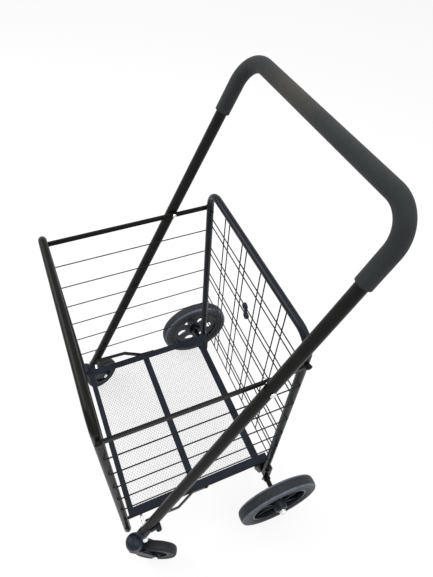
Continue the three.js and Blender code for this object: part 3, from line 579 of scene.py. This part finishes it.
def side_wire(context, level, label):
    """A loose wire along one side, whose bent ends turn in the uprights."""
    sizes = context.scene.cart_sizes
    node = f"side_wire_{level}_{label}"
    bend, end_round = 0.0026, 0.0003
    low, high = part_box(node)
    side = SIDES[label]
    outer = (high.x if side > 0 else low.x) - side * WIRE_R
    inner = low.x if side > 0 else high.x
    z = (low.z + high.z) / 2
    y0, y1 = low.y + WIRE_R, high.y - WIRE_R
    corners = [Vector((x, y, z)) for x, y in ((inner, y0), (outer, y0), (outer, y1), (inner, y1))]
    bm = bmesh.new()
    sweep(bm, rounded_path(corners, bend, math.radians(15)), WIRE_SHOWN, sizes.wire_sides,
          end_round)
    publish(node + "_round", bm, f"side_wires_{level}", "wire_paint", [node])


def mesh_window(context, node):
    """Expanded metal: zigzag strands, mirrored from row to row, that meet at short bonds."""
    sizes = context.scene.cart_sizes
    low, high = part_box(node)
    tuck = Vector((0.0009, 0.0009, 0))
    low, high = low - tuck, high + tuck
    half_w, half_thick, lift = sizes.strand_width / 2, sizes.strand_thick / 2, 0.0005
    rows = round((high.y - low.y) / (sizes.diamond_short / 2))
    row_step = (high.y - low.y) / rows
    periods = round((high.x - low.x) / sizes.diamond_long)
    pitch = (high.x - low.x) / periods
    bond = 0.16 * pitch
    swing = row_step / 2 - half_w
    z = (low.z + high.z) / 2
    bm = bmesh.new()
    for row in range(rows):
        middle = low.y + (row + 0.5) * row_step
        sign = 1 if row % 2 else -1
        points = []
        for k in range(2 * periods + 1):
            x = low.x + k * pitch / 2
            up = sign * (1 if k % 2 else -1)
            for dx in (-bond / 2, bond / 2):
                if low.x <= x + dx <= high.x:
                    points.append((x + dx, middle + up * swing, up))
        previous = None
        for x, y, up in points:
            section = [bm.verts.new((x, y + wide * half_w, z + tall * half_thick + up * lift))
                       for wide, tall in ((-1, -1), (1, -1), (1, 1), (-1, 1))]
            if previous:
                for i in range(4):
                    j = (i + 1) % 4
                    bm.faces.new((previous[i], previous[j], section[j], section[i]))
            else:
                bm.faces.new(section)
            previous = section
        bm.faces.new(previous)
    publish(node + "_expanded", bm, "tray", "tray_paint", [node])


def handle_corners():
    """The handle's centre line: foot, top corners, foot."""
    low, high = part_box("handle_tube")
    top_z = high.z - HANDLE_R
    joint = pivot("handle_fold")
    foot_z = low.z + HANDLE_R * math.sin(HANDLE_LEAN)
    return [Vector((side * HANDLE_HALF, joint.y + (z - joint.z) * math.tan(HANDLE_LEAN), z))
            for side, z in ((-1, foot_z), (-1, top_z), (1, top_z), (1, foot_z))]


def handle_tube(context):
    sizes = context.scene.cart_sizes
    bm = bmesh.new()
    sweep(bm, rounded_path(handle_corners(), sizes.handle_bend), HANDLE_R, sizes.tube_sides,
          CUT_EDGE)
    publish("handle_tube_round", bm, "handle", "black_paint", ["handle_tube"],
            coat="handle_coat")


def foam_grip(context):
    """One foam sleeve over the bar and its bends, with cut ends that open around the tube."""
    sizes = context.scene.cart_sizes
    radius, reach, ring_step, end_round, clear = 0.0145, 0.113, 0.008, 0.0022, 0.0003
    corners = handle_corners()
    down = (corners[0] - corners[1]).normalized() * reach
    path = rounded_path([corners[1] + down, corners[1], corners[2], corners[2] + down],
                        sizes.handle_bend)
    dense = []
    for (a, da), (b, db) in zip(path, path[1:]):
        count = max(1, round((b - a).length / ring_step))
        for k in range(count):
            t = k / count
            dense.append((a.lerp(b, t), da.lerp(db, t).normalized()))
    dense.append(path[-1])
    bm = bmesh.new()
    sweep(bm, dense, radius, 40, end_round, bore=HANDLE_R + clear, bore_depth=0.02)
    piece = publish("foam_grip", bm, "handle", "grip_foam", ["handle_grip"], 60)


def rear_tyre(context, label):
    """A rubber tyre with a flat wall, a rounded shoulder under a painted highlight band, and shallow grooves."""
    sizes = context.scene.cart_sizes
    low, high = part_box(f"rear_tyre_{label}")
    outer = (high.z - low.z) / 2
    w = (high.x - low.x) / 2
    deep = sizes.groove_depth
    right_half = [(TYRE_SEAT_R, w - 0.003), (TYRE_SEAT_R + 0.004, w - 0.001)]
    right_half += [(outer - drop, w - inset) for drop, inset in (
        (0.0170, -0.0004), (0.0145, 0.0008), (0.0120, 0.0002), (0.0070, 0.0004),
        (0.0032, 0.0018), (0.0010, 0.0056), (0.0005, 0.0080), (0.0006 + deep, 0.0088),
        (0.0005 + deep, 0.0100), (0.0001, 0.0108), (0, 0.0138), (deep * 0.6, 0.0145),
        (deep * 0.6, 0.0150))]
    left_half = [(r, -h) for r, h in reversed(right_half)]
    turned(f"rear_tyre_{label}_grooved", f"rear_wheel_{label}", "tyre_rubber",
           [f"rear_tyre_{label}"], right_half + left_half, sizes.wheel_segments,
           along_x(*pivot(f"rear_wheel_spin_{label}"), SIDES[label]), 0.0012, closed=True,
           sharp=50, coat="tyre_with_painted_light")


def rear_rim(context, label):
    """Deep plastic rim: flange, disc with round holes, ribs and a tall boss."""
    sizes = context.scene.cart_sizes
    place = along_x(*pivot(f"rear_wheel_spin_{label}"), SIDES[label])
    w, outer, wall, boss, bore = 0.0155, 0.0737, 0.006, 0.017, 0.0048
    inner = outer - wall
    bm = bmesh.new()
    flange = [(inner, -w + 0.003), (outer, -w + 0.003), (outer, w - 0.003),
              (inner + 0.001, w - 0.003)]
    lathe(bm, flange, sizes.wheel_segments, place, 0.0012, closed=True)
    hub = [(bore, -w - 0.002), (boss - 0.001, -w - 0.002), (boss + 0.001, -0.008),
           (boss + 0.0025, -0.004), (boss - 0.002, w + 0.008), (boss - 0.007, w + 0.008),
           (boss - 0.0075, w + 0.006), (bore, w + 0.006)]
    lathe(bm, hub, 48, place, 0.001, closed=True)
    middle = (boss + inner) / 2
    web = inner - boss
    holes = [circle(middle * math.cos(a), middle * math.sin(a), 0.28 * web, 28)
             for a in (i * math.pi / 3 + math.pi / 2 for i in range(6))]
    disc = circle(0, 0, inner + 0.002, 96)
    centre = circle(0, 0, boss - 0.004, 48)
    plate(bm, disc, [centre, *holes], 0.004, 0.0007, place @ Matrix.Translation((0, 0, -0.006)))
    rib = [(boss, -0.0045), (inner + 0.001, -0.0045), (inner + 0.001, 0.004),
           (inner - 0.008, 0.0065), (boss, 0.0085)]
    for i in range(6):
        turn = Matrix.Rotation((i + 0.5) * math.pi / 3 + math.pi / 2, 4, "Z")
        plate(bm, rib, [], 0.003, 0.0005, place @ turn @ Matrix.Rotation(math.pi / 2, 4, "X"))
    publish(f"rear_rim_{label}_moulded", bm, f"rear_wheel_{label}", "black_plastic",
            [f"rear_rim_{label}"], 40, coat="rim_plastic")


def axle():
    """The axle's black sleeve, the rod's ends in the hubs, and a collar at each bracket."""
    end = span("rear_axle", 0)[1]
    centre = pivot("rear_wheel_spin_right")
    radius = (span("rear_axle", 2)[1] - span("rear_axle", 2)[0]) / 2
    sleeve = span("rear_rim_right", 0)[0] - 0.0008
    profile = [(0, -end), (AXLE_ROD_R, -end), (AXLE_ROD_R, -sleeve), (radius, -sleeve),
               (radius, sleeve), (AXLE_ROD_R, sleeve), (AXLE_ROD_R, end), (0, end)]
    collar = [(radius, 0.0003), (0.0088, 0.0003), (0.0092, 0.0036), (0.0084, 0.0074),
              (radius, 0.0082)]
    bm = bmesh.new()
    lathe(bm, profile, 32, along_x(0, centre.y, centre.z), 0.0006)
    for label, side in SIDES.items():
        low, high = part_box(f"axle_bracket_{label}")
        outer = high.x if side > 0 else -low.x
        lathe(bm, collar, 32, along_x(side * outer, centre.y, centre.z, side), 0.0012)
    publish("rear_axle_round", bm, "rear_frame", "black_paint", ["rear_axle"])


def axle_cap(label):
    """Plated push-on cap with a small waist, on the axle's end."""
    side = SIDES[label]
    low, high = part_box(f"axle_cap_{label}")
    tip = high.x if side > 0 else low.x
    joint = pivot(f"rear_wheel_spin_{label}")
    long = high.x - low.x
    profile = [(AXLE_ROD_R, -long), (0.0085, -long), (0.0085, -long + 0.0035),
               (0.0078, -long + 0.0042), (0.0083, -long + 0.005), (0.0064, -0.0018),
               (0.003, -0.0003), (0, 0)]
    turned(f"axle_cap_{label}_round", "rear_frame", "bright_steel", [f"axle_cap_{label}"],
           profile, 40, along_x(tip, joint.y, joint.z, side), 0.0006)


def caster_wheel(label):
    """Rubber tyre, ribbed hub and plated axle, about the wheel's own line."""
    joint = joints[f"caster_spin_{label}"]
    turn = Vector((0, 0, 1)).rotation_difference(Vector(joint["axis"]).normalized())
    place = Matrix.Translation(joint["pos_m"]) @ turn.to_matrix().to_4x4()
    body = f"caster_wheel_{label}"
    radius, w, core = 0.050, CASTER_WHEEL_HALF, 0.034
    tread = [(core, w - 0.002), (radius - 0.008, w - 0.0006), (radius - 0.004, w - 0.0002),
             (radius - 0.0011, w - 0.0035), (radius - 0.0002, 0.0035)]
    tread += [(radius, 0)] + [(r, -h) for r, h in reversed(tread)]
    turned(f"caster_tyre_{label}_round", body, "tyre_rubber", [f"caster_tyre_{label}"], tread, 72,
           place, 0.0014, closed=True, sharp=50)
    bore, boss, outer = 0.0043, 0.009, core - 0.0003
    inner = outer - 0.006
    hub = [(bore, -w), (boss, -w), (boss, -0.004), (inner, -0.003), (inner, -w + 0.002),
           (outer, -w + 0.002)]
    hub += [(r, -h) for r, h in reversed(hub)]
    bm = bmesh.new()
    lathe(bm, hub, 64, place, 0.0009, closed=True)
    rib = [(boss - 0.001, 0.002), (inner + 0.001, 0.002), (inner + 0.001, 0.0075),
           (boss - 0.001, 0.0095)]
    for i in range(5):
        turn = Matrix.Rotation(i * 2 * math.pi / 5, 4, "Z")
        for outline in (rib, [(x, -y) for x, y in reversed(rib)]):
            plate(bm, outline, [], 0.0022, 0.0004,
                  place @ turn @ Matrix.Rotation(math.pi / 2, 4, "X"))
    publish(f"caster_hub_{label}_ribbed", bm, body, "black_plastic", [f"caster_hub_{label}"], 40)
    reach = CASTER_WHEEL_HALF + FORK_GAP + FORK_CHEEK + 0.0003
    pin = [(0, -reach - 0.003), (0.0058, -reach - 0.003), (0.0065, -reach), (0.004, -reach)]
    pin += [(r, -h) for r, h in reversed(pin)]
    turned(f"caster_axle_{label}_round", body, "bright_steel", [f"caster_axle_{label}"], pin, 32,
           place, 0.001, sharp=45)


def caster_fork(label):
    """Round neck under the housing, two tapering cheeks and a pad over each axle end."""
    swivel = pivot(f"caster_swivel_{label}")
    axis = Vector(joints[f"caster_spin_{label}"]["axis"])
    turn = Matrix.Rotation(math.atan2(axis.y, axis.x), 4, "Z")
    place = Matrix.Translation(swivel) @ turn
    trail, drop, neck = 0.046, -0.053, -0.007
    middle_x = CASTER_WHEEL_HALF + FORK_GAP + FORK_CHEEK / 2
    bm = bmesh.new()
    lathe(bm, [(0, neck), (0.0178, neck), (0.0188, -0.0005), (0, -0.0004)], 48, place, 0.0012)
    cheek = [(-0.0115, -0.0008), (0.015, -0.0008), (0.031, -0.020),
             (trail + 0.0075, drop + 0.004), (trail + 0.0082, drop - 0.002),
             (trail + 0.0045, drop - 0.0074), (trail - 0.003, drop - 0.0078),
             (trail - 0.0068, drop - 0.005), (0.013, -0.032), (-0.006, -0.021),
             (-0.0115, -0.015)]
    onto_cheek = Matrix(((0, 0, 1, 0), (1, 0, 0, 0), (0, 1, 0, 0), (0, 0, 0, 1)))
    pad = [(0, -0.0026), (0.0074, -0.0026), (0.0074, 0.0026), (0, 0.0026)]
    for middle in (middle_x, -middle_x):
        plate(bm, cheek, [], FORK_CHEEK, 0.0009,
              place @ Matrix.Translation((middle, 0, 0)) @ onto_cheek, 0.004)
        lathe(bm, pad, 32, place @ Matrix.Translation((middle, trail, drop))
              @ Matrix.Rotation(math.pi / 2, 4, "Y"), 0.0008, 2)
    publish(f"caster_fork_{label}_moulded", bm, f"caster_fork_{label}", "black_plastic",
            [f"caster_fork_{label}"], 40)


def caster_housing(label):
    """Domed swivel housing, the collar on the leg's foot with its rivet, the rib between
    them, and the sleeve around the leg above the collar."""
    side = SIDES[label]
    swivel = pivot(f"caster_swivel_{label}")
    corners = handle_corners()
    foot = corners[3] if side > 0 else corners[0]
    down = (corners[3] - corners[2]).normalized()
    radius, tall = 0.020, 0.031
    on_swivel = Matrix.Translation(swivel)
    down_leg = Vector((0, 0, 1)).rotation_difference(down).to_matrix().to_4x4()
    bm = bmesh.new()
    dome = [(0, 0), (0.0192, 0), (radius, 0.001), (radius, 0.0165), (0.0192, 0.0215),
            (0.0165, 0.0265), (0.0115, 0.0298), (0.005, 0.0309), (0, tall)]
    lathe(bm, dome, 56, on_swivel, 0.002, 4)
    bead = [(radius - 0.001, 0.0035), (radius + 0.0003, 0.0045), (radius + 0.0003, 0.0065),
            (radius - 0.001, 0.0075)]
    lathe(bm, bead, 56, on_swivel, 0.0006, 2, closed=True)
    collar = [(0, 0.0003), (0.0113, 0.0003), (0.0125, 0.0016), (0.0125, 0.034), (0.0115, 0.036),
              (0, 0.036)]
    lathe(bm, collar, 48, Matrix.Translation(foot) @ down_leg, 0.0012)
    rib_half, rib_long, rib_tall = 0.0105, radius + 0.006, 0.6 * tall
    rib = [(-rib_half, 0), (rib_half, 0), (rib_half, rib_long), (-rib_half, rib_long)]
    rib_foot = (swivel.x - side * 0.003, swivel.y, swivel.z + 0.001 + rib_tall / 2)
    plate(bm, rib, [], rib_tall, 0.0015, Matrix.Translation(rib_foot), 0.004, 4)
    publish(f"caster_housing_{label}_moulded", bm, "handle", "black_plastic",
            [f"caster_housing_{label}"], 40)
    outward = Vector((side * 0.0018, 0, 0))
    sleeve = [(0.005, 0.0005), (0.0106, 0.0005), (0.0106, -0.0290), (0.0094, -0.0350),
              (0.005, -0.0355)]
    turned(f"foot_sleeve_{label}", "handle", "black_paint", (), sleeve, 48,
           Matrix.Translation(foot + outward) @ down_leg, 0.0012, closed=True)
    rivet_drop = 0.019
    rivet_y = foot.y - rivet_drop * math.tan(HANDLE_LEAN) + 0.0051
    turned(f"collar_rivet_{label}", "handle", "bright_steel", (),
           rivet_profile(0.0070, 0.0062, 0.0006), 36,
           along_x(side * (HANDLE_HALF + 0.0124), rivet_y, foot.z - rivet_drop, side))


def bolt(node, label, body, slot, y, z, head, flat, end, segments):
    """A shank with a domed head outside and a flat rivet end inside."""
    side = SIDES[label]
    low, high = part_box(node)
    inner, outer = (low.x, high.x) if side > 0 else (high.x, low.x)
    tall, shank = 0.003, 0.003
    under_head = abs(outer - inner) - tall
    profile = [(0, 0), (flat, 0), (end - 0.0001, 0.0008), (end, 0.0024), (shank, 0.0025),
               (shank, under_head)]
    profile += [(r, under_head + h) for r, h in rivet_profile(head, tall)]
    turned(node + "_round", body, slot, [node], profile, segments, along_x(inner, y, z, side),
           sharp=45)


def frame_bolts(which, label):
    """Black bolts of the rail and the tray in one upright."""
    y = pivot("fold").y if which == "rear" else pivot("front_frame_fold").y
    for kind, joint in (("rail", "fold"), ("tray", "tray_fold")):
        node = f"{which}_{kind}_bolt_{label}"
        low, high = span(node, 2)
        bolt(node, label, f"{which}_frame", "black_paint", y, pivot(joint).z, (high - low) / 2,
             0.0038, 0.0049, 28)


def handle_bolt(label):
    """Plated bolt through the rail and the leg."""
    joint = pivot("handle_fold")
    bolt(f"handle_bolt_{label}", label, "handle", "bright_steel", joint.y, joint.z, 0.006,
         0.0032, 0.0042, 36)


def foot_tab(label):
    """Short tab over the bolt in a leg's foot, with the round stop that stands out from it."""
    side = SIDES[label]
    node = f"link_bolt_{label}"
    low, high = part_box(node)
    outer = high.x if side > 0 else -low.x
    radius, thick, stop_out, stop_in = 0.0065, 0.0036, 0.0080, -0.014
    root = (high.y - 0.021, high.z - 0.013)
    tip = (high.y - 0.0075, high.z - 0.0025)
    lean = math.atan2(tip[1] - root[1], tip[0] - root[0])
    outline = []
    for (cy, cz), start in ((root, lean + math.pi / 2), (tip, lean - math.pi / 2)):
        for i in range(13):
            a = start + math.pi * i / 12
            outline.append((-side * (cz + radius * math.sin(a)), cy + radius * math.cos(a)))
    bm = bmesh.new()
    plate(bm, outline, [], thick, 0.0008, along_x(side * (outer - 0.0042 + thick / 2), 0, 0, side))
    stop = [(0, stop_in), (radius, stop_in), (radius, stop_out - 0.004),
            (radius * 0.78, stop_out - 0.001), (radius * 0.4, stop_out), (0, stop_out)]
    lathe(bm, stop, 36, along_x(side * outer, *tip, side), 0.0018)
    publish(f"foot_tab_{label}", bm, "handle", "black_plastic", [node])


def latch_clip():
    """Two moulded rings on a slanted neck, clipped around a pair of wires."""
    low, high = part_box("latch_clip")
    radius, hole, waist = 0.008, 0.0034, 0.0035
    middle_y, deep = (low.y + high.y) / 2, (high.y - low.y) / 2
    upper = Vector((low.x + radius, middle_y, high.z - radius))
    lower = Vector((high.x - radius, middle_y, low.z + radius))
    toward = Matrix.Rotation(math.pi / 2, 4, "X")
    ring = [(hole, -deep), (radius, -deep), (radius, deep), (hole, deep)]
    bm = bmesh.new()
    for centre in (upper, lower):
        lathe(bm, ring, 40, Matrix.Translation(centre) @ toward, 0.0014, closed=True)
    run = lower - upper
    slant = Vector((0, 0, -1)).rotation_difference(run.normalized()).to_matrix().to_4x4()
    long = run.length / 2 - hole
    neck = [(-waist, -long), (waist, -long), (waist, long), (-waist, long)]
    plate(bm, neck, [], 2 * deep - 0.002, 0.0008,
          Matrix.Translation((upper + lower) / 2) @ slant @ toward, 0.0012)
    publish("latch_clip_moulded", bm, "rear_frame", "black_plastic", ["latch_clip"], 40)


def soften_cad(node, width, sharpest=50):
    """Keeps a CAD node and rounds its edges with modifiers."""
    obj = frame["nodes"][node]
    weld = obj.modifiers.new("weld", "WELD")
    weld.merge_threshold = 1e-6
    bevel = obj.modifiers.new("edge", "BEVEL")
    bevel.width = width
    bevel.segments = 2
    bevel.limit_method = "ANGLE"
    bevel.angle_limit = math.radians(sharpest)
    bevel.harden_normals = False


def wear(node, slot):
    """Gives a CAD node its slot's finish."""
    obj = frame["nodes"][node]
    if not obj.material_slots:
        obj.data.materials.append(None)
    for material_slot in obj.material_slots:
        material_slot.link = "OBJECT"
        material_slot.material = FINISHES[slot]


# Stage

FLOOR_RADIUS = 14
FLOOR_LEVEL = -0.0006
FLOOR_GLOW = 0.84
SOFT_LIGHT = 0.5
WHITE = (1, 1, 1, 1)
# Name, place, aim, size and power of each lamp.
LAMPS = (("key", (-1.6, -1.8, 2.6), (0, 0, 0.4), 1.8, 66),
         ("fill", (2.2, 1.2, 2.2), (0, 0, 0.4), 2.2, 26),
         ("top", (0.2, 0.6, 3.1), (0, 0, 0.3), 2.4, 50))
# The photograph's viewpoint; the focal length and height are in its pixels.
CAMERA_PLACE = (0.5243933, -0.2033919, 1.3087)
CAMERA_FORWARD = (-0.5834, 0.2934, -0.7573)
CAMERA_ROLL = 0.0814042
FOCAL_PIXELS = 468.0666
PHOTO_HEIGHT = 577
SENSOR = 36


def seen_rays(tree):
    """1 for camera, glossy and transmission rays, which show the white background."""
    path = add_node(tree, "LightPath")
    total = path.outputs["Is Camera Ray"]
    for kind in ("Is Glossy Ray", "Is Transmission Ray"):
        either = add_node(tree, "Math", operation="MAXIMUM")
        join(tree, (total, either.inputs[0]), (path.outputs[kind], either.inputs[1]))
        total = either.outputs[0]
    return total


def pale_floor():
    """White floor that keeps a soft share of the cart's shadow."""
    mat, tree, shader = node_material("pale_floor")
    set_sockets(shader, {"Base Color": (0.93, 0.93, 0.93, 1), "Roughness": 0.9,
                         "Specular IOR Level": 0.1})
    white = add_node(tree, "Emission", {"Color": WHITE, "Strength": 1.0})
    share = add_node(tree, "Math", {1: FLOOR_GLOW}, operation="MULTIPLY")
    mix = add_node(tree, "MixShader")
    join(tree, (seen_rays(tree), share.inputs[0]), (share.outputs[0], mix.inputs["Fac"]),
         (shader.outputs[0], mix.inputs[1]), (white.outputs[0], mix.inputs[2]),
         (mix.outputs[0], tree.nodes["Material Output"].inputs["Surface"]))
    return mat


def set_world(scene):
    """Soft grey light on the cart, plain white behind it."""
    world = bpy.data.worlds.new("studio")
    scene.world = world
    world.use_nodes = True
    tree = world.node_tree
    tree.nodes.clear()
    out = add_node(tree, "OutputWorld")
    mix = add_node(tree, "MixShader")
    soft = add_node(tree, "Background", {"Color": WHITE, "Strength": SOFT_LIGHT})
    white = add_node(tree, "Background", {"Color": WHITE, "Strength": 1.0})
    join(tree, (seen_rays(tree), mix.inputs["Fac"]), (soft.outputs[0], mix.inputs[1]),
         (white.outputs[0], mix.inputs[2]), (mix.outputs[0], out.inputs["Surface"]))


def add_lamp(context, name, place, aim, size, power):
    lamp = bpy.data.lights.new(name, "AREA")
    lamp.size = size
    lamp.energy = power
    holder = bpy.data.objects.new(name, lamp)
    holder.location = place
    holder.rotation_euler = (aim - place).to_track_quat("-Z", "Y").to_euler()
    context.scene.collection.objects.link(holder)


def add_camera(context):
    """Looks from high above the cart's front right, as the photograph does."""
    forward = Vector(CAMERA_FORWARD).normalized()
    level = forward.cross(Vector((0, 0, 1))).normalized()
    up = level.cross(forward)
    right = level * math.cos(CAMERA_ROLL) + up * math.sin(CAMERA_ROLL)
    turned_up = up * math.cos(CAMERA_ROLL) - level * math.sin(CAMERA_ROLL)
    turn = Matrix((right, turned_up, -forward)).transposed()
    camera = bpy.data.cameras.new("photo_view")
    camera.sensor_fit = "VERTICAL"
    camera.sensor_height = SENSOR
    camera.lens = SENSOR * FOCAL_PIXELS / PHOTO_HEIGHT
    camera.clip_start = 0.01
    holder = bpy.data.objects.new("photo_view", camera)
    holder.matrix_world = Matrix.Translation(CAMERA_PLACE) @ turn.to_4x4()
    context.scene.collection.objects.link(holder)
    context.scene.camera = holder


# Operators

class CART_OT_finishes(bpy.types.Operator):
    """Makes the powder coats, plastic, rubber, foam and plating"""
    bl_idname = "cart.finishes"
    bl_label = "Finishes"

    def execute(self, context):
        colours = context.scene.cart_colours
        rim_colour = [0.4 * part for part in colours.plastic]
        FINISHES.update({
            "black_paint": powder_coat("tube_coat", colours.coat, 0.3),
            # The rear frame's coat: the tube coat again, with a bluish base and specular tint that paint a cool
            # reflection.
            "frame_coat_with_painted_reflection": powder_coat("frame_coat_with_painted_reflection", (0.0062, 0.0072, 0.0092), 0.32,
                                      shine=0.16, tint=(0.78, 0.88, 1)),
            "handle_coat": powder_coat("handle_coat", colours.coat, 0.3, shine=0.12),
            "wire_paint": powder_coat("wire_coat", colours.wire, 0.45, 1400, 0.0001),
            "tray_paint": powder_coat("tray_coat", colours.tray, 0.62, 1800, 0.0002, 0.25),
            "black_plastic": moulded_plastic("moulded_plastic", colours.plastic, 0.42),
            "rim_plastic": moulded_plastic("rim_plastic", rim_colour, 0.36),
            "tyre_rubber": tyre_rubber("wheel_rubber", colours.rubber),
            # The rear tyres' rubber paints reflection on the wall and a highlight band at the shoulder.
            "tyre_with_painted_light": tyre_with_painted_light("rear_tyre_rubber", colours.rubber),
            "grip_foam": closed_cell_foam("grip_foam_skin", colours.foam),
            "bright_steel": bright_plating("bright_plating", colours.plating),
        })
        slots = {s["node"]: s["material_slot"] for s in frame["record"]["subparts"]}
        for node in frame["nodes"]:
            wear(node, slots[node])
        return {"FINISHED"}


class CART_OT_frames(bpy.types.Operator):
    """Builds the two bent tube frames, their wire panels and bolts"""
    bl_idname = "cart.frames"
    bl_label = "Frames"

    def execute(self, context):
        for which in ("rear", "front"):
            frame_tube(context, f"{which}_frame_tube", f"{which}_frame")
            panel_wires(context, f"{which}_panel_wires", f"{which}_frame")
            for label in SIDES:
                frame_bolts(which, label)
        return {"FINISHED"}


class CART_OT_side_wires(bpy.types.Operator):
    """Builds the loose side wires whose ends turn in the uprights"""
    bl_idname = "cart.side_wires"
    bl_label = "Side wires"

    def execute(self, context):
        for label in SIDES:
            for level in LEVELS:
                side_wire(context, level, label)
        return {"FINISHED"}


class CART_OT_tray(bpy.types.Operator):
    """Weaves the tray's expanded metal and rounds its frame's edges"""
    bl_idname = "cart.tray"
    bl_label = "Tray"

    def execute(self, context):
        for node in ("tray_mesh_front", "tray_mesh_rear"):
            mesh_window(context, node)
        soften_cad("tray_frame", 0.0008)
        return {"FINISHED"}


class CART_OT_rails(bpy.types.Operator):
    """Rounds the edges of the rails, brackets and links, and builds the tabs at the legs' feet"""
    bl_idname = "cart.rails"
    bl_label = "Rails and links"

    def execute(self, context):
        for label in SIDES:
            soften_cad(f"top_rail_{label}", 0.0009)
            soften_cad(f"axle_bracket_{label}", 0.0005)
            # The link's studs are rounded more, so that they turn freely in the tray's holes.
            soften_cad(f"link_{label}", 0.0006, sharpest=25)
            foot_tab(label)
        return {"FINISHED"}


class CART_OT_handle(bpy.types.Operator):
    """Builds the leaning handle tube and its plated bolts"""
    bl_idname = "cart.handle"
    bl_label = "Handle"

    def execute(self, context):
        handle_tube(context)
        for label in SIDES:
            handle_bolt(label)
        return {"FINISHED"}


class CART_OT_grip(bpy.types.Operator):
    """Builds the foam sleeve of the handle"""
    bl_idname = "cart.grip"
    bl_label = "Foam grip"

    def execute(self, context):
        foam_grip(context)
        return {"FINISHED"}


class CART_OT_rear_wheels(bpy.types.Operator):
    """Builds the rear wheels and their axle: grooved tyres, deep rims and axle caps"""
    bl_idname = "cart.rear_wheels"
    bl_label = "Rear wheels"

    def execute(self, context):
        axle()
        for label in SIDES:
            rear_tyre(context, label)
            rear_rim(context, label)
            axle_cap(label)
        return {"FINISHED"}


class CART_OT_casters(bpy.types.Operator):
    """Builds the front casters: housings, leg sleeves, rivets, forks, wheels and axles"""
    bl_idname = "cart.casters"
    bl_label = "Casters"

    def execute(self, context):
        for label in SIDES:
            caster_housing(label)
            caster_fork(label)
            caster_wheel(label)
        return {"FINISHED"}


class CART_OT_latch_clip(bpy.types.Operator):
    """Builds the small latch clip on the rear panel"""
    bl_idname = "cart.latch_clip"
    bl_label = "Latch clip"

    def execute(self, context):
        latch_clip()
        return {"FINISHED"}


class CART_OT_stage(bpy.types.Operator):
    """Sets the floor, lamps, world and camera"""
    bl_idname = "cart.stage"
    bl_label = "Stage"

    def execute(self, context):
        floor_mesh = bpy.data.meshes.new("floor")
        bm = bmesh.new()
        bmesh.ops.create_circle(bm, cap_ends=True, segments=64, radius=FLOOR_RADIUS)
        bm.to_mesh(floor_mesh)
        bm.free()
        floor = bpy.data.objects.new("floor", floor_mesh)
        floor.location.z = FLOOR_LEVEL
        context.scene.collection.objects.link(floor)
        floor_mesh.materials.append(pale_floor())
        set_world(context.scene)
        for name, place, aim, size, power in LAMPS:
            add_lamp(context, name, Vector(place), Vector(aim), size, power)
        add_camera(context)
        context.scene.view_settings.view_transform = "Standard"
        return {"FINISHED"}


class CART_PT_panel(bpy.types.Panel):
    """Lists the cart's pieces, sizes and colours"""
    bl_idname = "CART_PT_panel"
    bl_label = "Folding shopping cart"
    bl_space_type = "VIEW_3D"
    bl_region_type = "UI"
    bl_category = "Cart"

    def draw(self, context):
        for operator in OPERATORS:
            self.layout.operator(operator.bl_idname)
        for group in (context.scene.cart_sizes, context.scene.cart_colours):
            box = self.layout.box()
            for name in group.bl_rna.properties.keys():
                if name not in ("rna_type", "name"):
                    box.prop(group, name)


OPERATORS = (CART_OT_finishes, CART_OT_frames, CART_OT_side_wires, CART_OT_tray, CART_OT_rails,
             CART_OT_handle, CART_OT_grip, CART_OT_rear_wheels, CART_OT_casters, CART_OT_latch_clip,
             CART_OT_stage)
CLASSES = (CartSizes, CartColours, *OPERATORS, CART_PT_panel)


def register():
    for cls in CLASSES:
        bpy.utils.register_class(cls)
    bpy.types.Scene.cart_sizes = PointerProperty(type=CartSizes)
    bpy.types.Scene.cart_colours = PointerProperty(type=CartColours)


def unregister():
    del bpy.types.Scene.cart_colours
    del bpy.types.Scene.cart_sizes
    for cls in reversed(CLASSES):
        bpy.utils.unregister_class(cls)


def main():
    register()
    bpy.ops.cart.finishes()
    bpy.ops.cart.frames()
    bpy.ops.cart.side_wires()
    bpy.ops.cart.tray()
    bpy.ops.cart.rails()
    bpy.ops.cart.handle()
    bpy.ops.cart.grip()
    bpy.ops.cart.rear_wheels()
    bpy.ops.cart.casters()
    bpy.ops.cart.latch_clip()
    bpy.ops.cart.stage()


if __name__ == "__main__":
    main()
